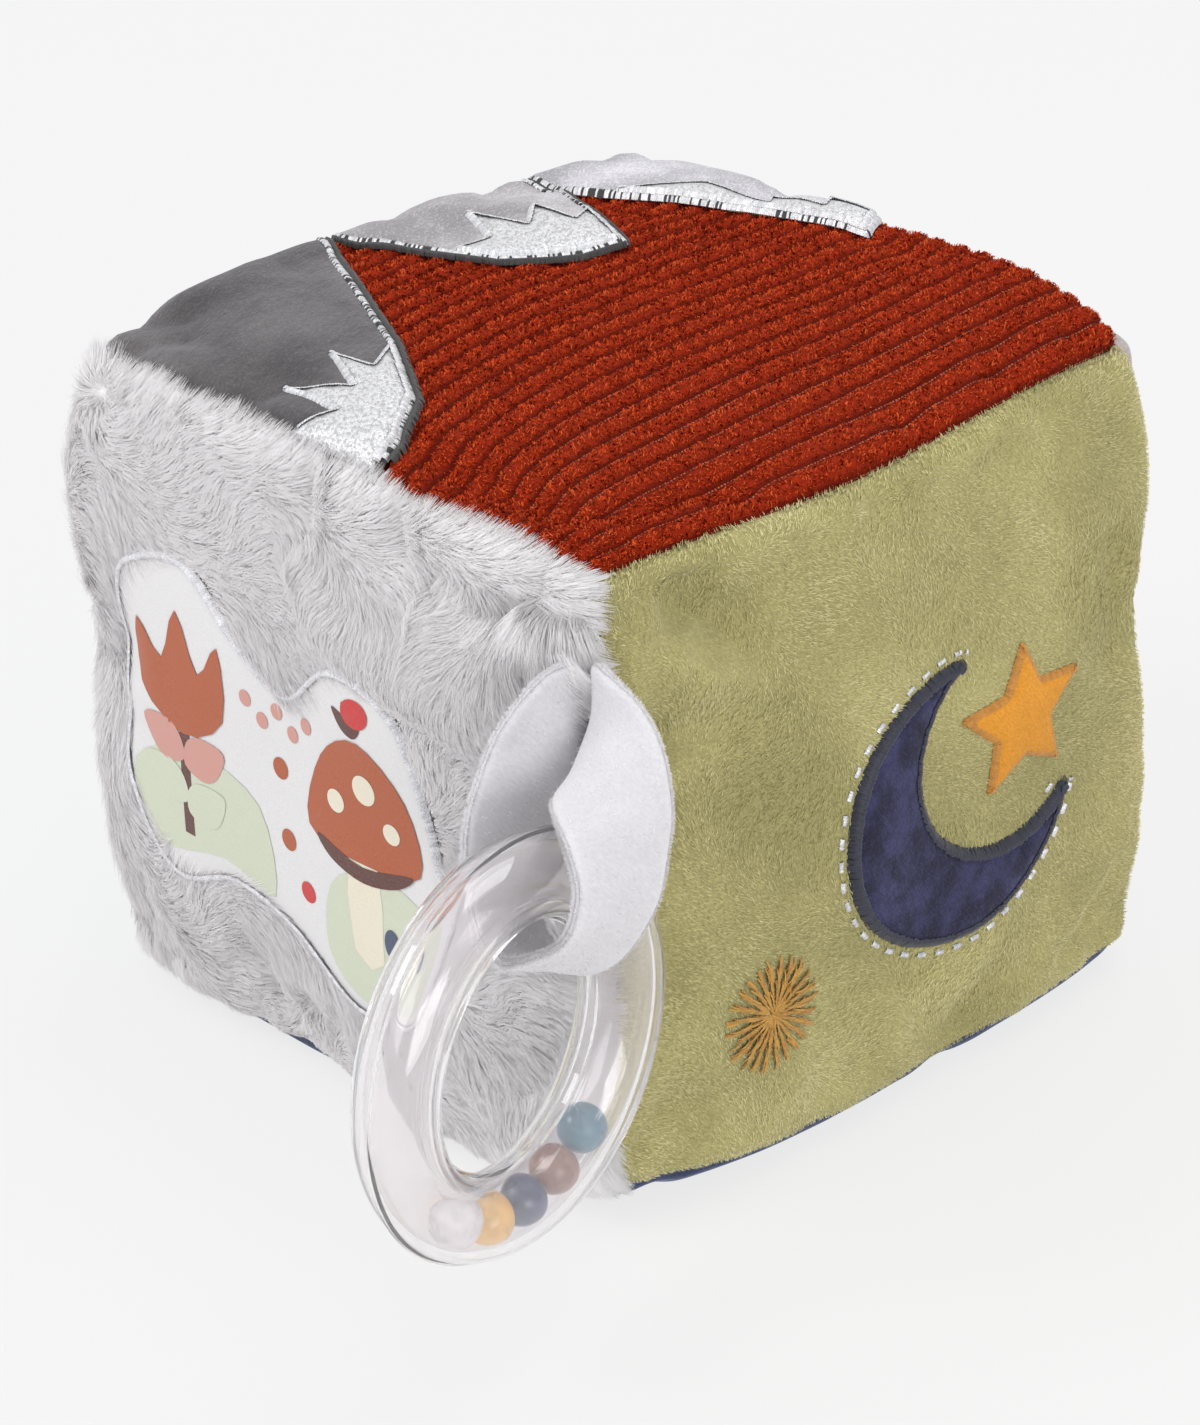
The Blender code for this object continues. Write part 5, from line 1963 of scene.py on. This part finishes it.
@dataclass
class RattleRing:
    """The clear ring and the beads in it."""

    radius: float = 0.0282
    tube: float = 0.007
    wall: float = 0.002
    lip: float = 0.0005
    lip_half_height: float = 0.00075
    centre: tuple[float, float, float] = (0.076855, -0.095099, 0.056599)
    yaw: float = math.radians(9.8)
    steps: int = 160
    tube_steps: int = 20
    bead_radius: float = 0.0042

    def seat(self) -> Matrix:
        """Return the ring's place: X towards the block, Y up, Z along its axis."""
        axis = Vector((math.cos(self.yaw), math.sin(self.yaw), 0))
        inward = Vector((0, 0, 1)).cross(axis)
        turn = Matrix((inward, Vector((0, 0, 1)), axis)).transposed().to_4x4()
        return Matrix.Translation(self.centre) @ turn

    def profile(self) -> list[tuple[float, float]]:
        """Return the outside of the tube's section, with the weld lip at both sides."""
        start = math.asin(self.lip_half_height / self.tube)
        found = []
        for side in (0, 1):
            turn = math.pi * side
            lip = self.tube + self.lip
            sign = 1 - 2 * side
            found.append((sign * lip, -sign * self.lip_half_height * 0.6))
            found.append((sign * lip, sign * self.lip_half_height * 0.6))
            for step in range(self.tube_steps + 1):
                angle = turn + start + (math.pi - 2 * start) * step / self.tube_steps
                found.append((self.tube * math.cos(angle), self.tube * math.sin(angle)))
        return found

    def turned(self, section: Sequence[tuple[float, float]]) -> bmesh.types.BMesh:
        """Turn a closed section round the ring's axis."""
        shape = bmesh.new()
        verts = [shape.verts.new((self.radius + x, 0, z)) for x, z in section]
        edges = [shape.edges.new((verts[k - 1], verts[k])) for k in range(len(verts))]
        bmesh.ops.spin(
            shape, geom=verts + edges, cent=(0, 0, 0), axis=(0, 0, 1),
            angle=2 * math.pi, steps=self.steps, use_merge=True,
        )
        bmesh.ops.recalc_face_normals(shape, faces=shape.faces)
        return shape

    def build(self) -> None:
        """Make the ring's clear wall and its beads."""
        bore = self.tube - self.wall
        circle = [
            (bore * math.cos(2 * math.pi * k / 40), bore * math.sin(2 * math.pi * k / 40))
            for k in range(40)
        ]
        outer = self.turned(self.profile())
        inner = self.turned(circle)
        bmesh.ops.reverse_faces(inner, faces=inner.faces)
        hollow = new_mesh(inner, "ring_bore")
        outer.from_mesh(hollow)
        bpy.data.meshes.remove(hollow)
        bmesh.ops.transform(outer, matrix=self.seat(), verts=outer.verts)
        mesh = new_mesh(outer, "clear_ring")
        mesh.set_sharp_from_angle(angle=math.radians(50))
        plastic = ClearPlastic()
        ring = add_piece("clear_ring", mesh, plastic.make())
        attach(ring, "ring")
        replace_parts(ring, "ring_shell_outer", "ring_shell_inner")
        self.beads()

    def beads(self) -> None:
        """Make the five beads at the ring's lowest place."""
        play = self.tube - self.wall - self.bead_radius - 0.0003
        track = self.radius + play
        pitch = 2 * math.asin((self.bead_radius + 0.00015) / track)
        colours = {
            "teal": (0.070, 0.215, 0.30),
            "mauve": (0.33, 0.165, 0.125),
            "navy": (0.025, 0.045, 0.15),
            "yellow": (0.90, 0.50, 0.08),
            "white": (0.86, 0.83, 0.84),
        }
        for number, (name, colour) in enumerate(colours.items()):
            ball = bmesh.new()
            bmesh.ops.create_uvsphere(
                ball, u_segments=40, v_segments=24, radius=self.bead_radius
            )
            angle = math.pi + (number - 2) * pitch
            spot = Vector((track * math.sin(angle), track * math.cos(angle), 0))
            move = self.seat() @ Matrix.Translation(spot)
            bmesh.ops.transform(ball, matrix=move, verts=ball.verts)
            mesh = new_mesh(ball, f"{name}_bead")
            look = MouldedBead(f"{name} bead plastic", f"{name}_bead", colour)
            bead = add_piece(f"{name}_bead", mesh, look.make())
            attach(bead, f"{name}_ball")
            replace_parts(bead, f"bead_{name}")


# Studio


# Each soft light's name, place, side in metres and power in watts
LAMPS = (
    ("key_softbox", (-0.55, -1.1, 1.25), 0.7, 11),
    ("fill_softbox", (1.5, -0.4, 0.35), 0.9, 10),
    ("top_softbox", (0.1, 0.5, 1.5), 0.9, 8),
)
LAMP_AIM = Vector((0, 0, 0.06))
ROOM_LIGHT = 0.75
FLOOR_GLOW = 0.775


@dataclass
class Studio:
    """The floor, the soft lights and the camera at the photograph's angle."""

    azimuth: float = math.radians(48.44)
    elevation: float = math.radians(28.0553)
    roll: float = math.radians(-2.3149)
    distance: float = 1.05
    aim: tuple[float, float, float] = (0, 0, 0.0665)
    shift_right: float = -0.0037
    shift_up: float = -0.0144
    lens: float = 154.2

    def camera(self) -> None:
        """Set up the camera."""
        a, e = self.azimuth, self.elevation
        back = Vector((math.sin(a) * math.cos(e), -math.cos(a) * math.cos(e), math.sin(e)))
        level = Vector((math.cos(a), math.sin(a), 0))
        rise = back.cross(level)
        right = level * math.cos(self.roll) + rise * math.sin(self.roll)
        up = rise * math.cos(self.roll) - level * math.sin(self.roll)
        data = bpy.data.cameras.new("photo_camera")
        data.lens = self.lens
        data.sensor_width = 36
        data.clip_start, data.clip_end = 0.05, 50
        eye = bpy.data.objects.new("photo_camera", data)
        place = Vector(self.aim) + right * self.shift_right + up * self.shift_up
        place = place + back * self.distance
        turn = Matrix((right, up, back)).transposed().to_4x4()
        eye.matrix_world = Matrix.Translation(place) @ turn
        bpy.context.scene.collection.objects.link(eye)
        bpy.context.scene.camera = eye

    def lamp(self, name: str, place: Colour, size: float, power: float) -> None:
        """Hang one square soft light that faces the block."""
        data = bpy.data.lights.new(name, "AREA")
        data.size = size
        data.energy = power
        lamp = bpy.data.objects.new(name, data)
        aim = LAMP_AIM - Vector(place)
        lamp.matrix_world = (
            Matrix.Translation(place) @ aim.to_track_quat("-Z", "Y").to_matrix().to_4x4()
        )
        bpy.context.scene.collection.objects.link(lamp)

    def build(self) -> None:
        """Set up floor, light and camera."""
        bench = Bench("pale floor")
        grain = bench.noise(4, 2)
        tone = bench.mix(bench.band(grain, 0.3, 0.7), (0.11, 0.11, 0.11), (0.112, 0.112, 0.112))
        bench.link(tone, "Base Color")
        bench.set(Roughness=0.95, Emission_Color=(1, 1, 1, 1), Emission_Strength=FLOOR_GLOW)
        bench.shader.inputs["Specular IOR Level"].default_value = 0.0
        shape = bmesh.new()
        bmesh.ops.create_grid(shape, x_segments=1, y_segments=1, size=8)
        floor = bpy.data.objects.new("pale_floor", new_mesh(shape, "pale_floor"))
        floor.data.materials.append(bench.material)
        bpy.context.scene.collection.objects.link(floor)
        world = bpy.data.worlds.new("soft_room")
        world.use_nodes = True
        world.node_tree.nodes["Background"].inputs["Color"].default_value = (1, 1, 1, 1)
        world.node_tree.nodes["Background"].inputs["Strength"].default_value = ROOM_LIGHT
        bpy.context.scene.world = world
        for name, place, size, power in LAMPS:
            self.lamp(name, place, size, power)
        bpy.context.scene.view_settings.view_transform = "Standard"
        self.camera()


def build_cover(form: BlockForm) -> None:
    """Build the stuffing and the six panels."""
    Filling().build(form)
    looks = (
        ("fur_backing", "panel_front_fur", Face.FRONT,
         PileCloth("white fur backing", "white_fur", (0.88, 0.87, 0.88), 0.95, 1.05)),
        ("olive_side", "panel_right_velour", Face.RIGHT,
         PileCloth("olive velour cloth", "olive_velour", (0.375, 0.340, 0.146), 0.80, 1.12,
                   0.03, 0.00034, 0.00022, 0.3, (0.85, 0.82, 0.6))),
        ("blue_side", "panel_left_plush", Face.LEFT,
         PileCloth("light blue plush cloth", "blue_plush", (0.30, 0.46, 0.68), 0.85, 1.15)),
        ("grey_back", "panel_back_plush", Face.BACK,
         PileCloth("warm grey plush cloth", "warm_grey_plush", (0.42, 0.38, 0.37), 0.85, 1.15)),
        ("navy_base", "panel_base_plush", Face.BASE,
         PileCloth("navy plush cloth", "navy_plush", (0.03, 0.035, 0.08), 0.8, 1.5,
                   tint=(0.6, 0.7, 1.0))),
    )
    for name, node, face, cloth in looks:
        CoverPanel(name, node, face, cloth).build(form)
    CorduroyTop().build(form)


def main() -> None:
    """Build the block piece by piece, then the studio."""
    logging.basicConfig(level=logging.INFO, format="%(message)s")
    form = BlockForm()
    form.stuff()
    build_cover(form)
    PrintPatch().build(form)
    Peaks().build(form)
    NightMotifs().build(form)
    grow_pile(form)
    PlushLoop().build(form)
    RattleRing().build()
    Studio().build()


if __name__ == "__main__":
    main()
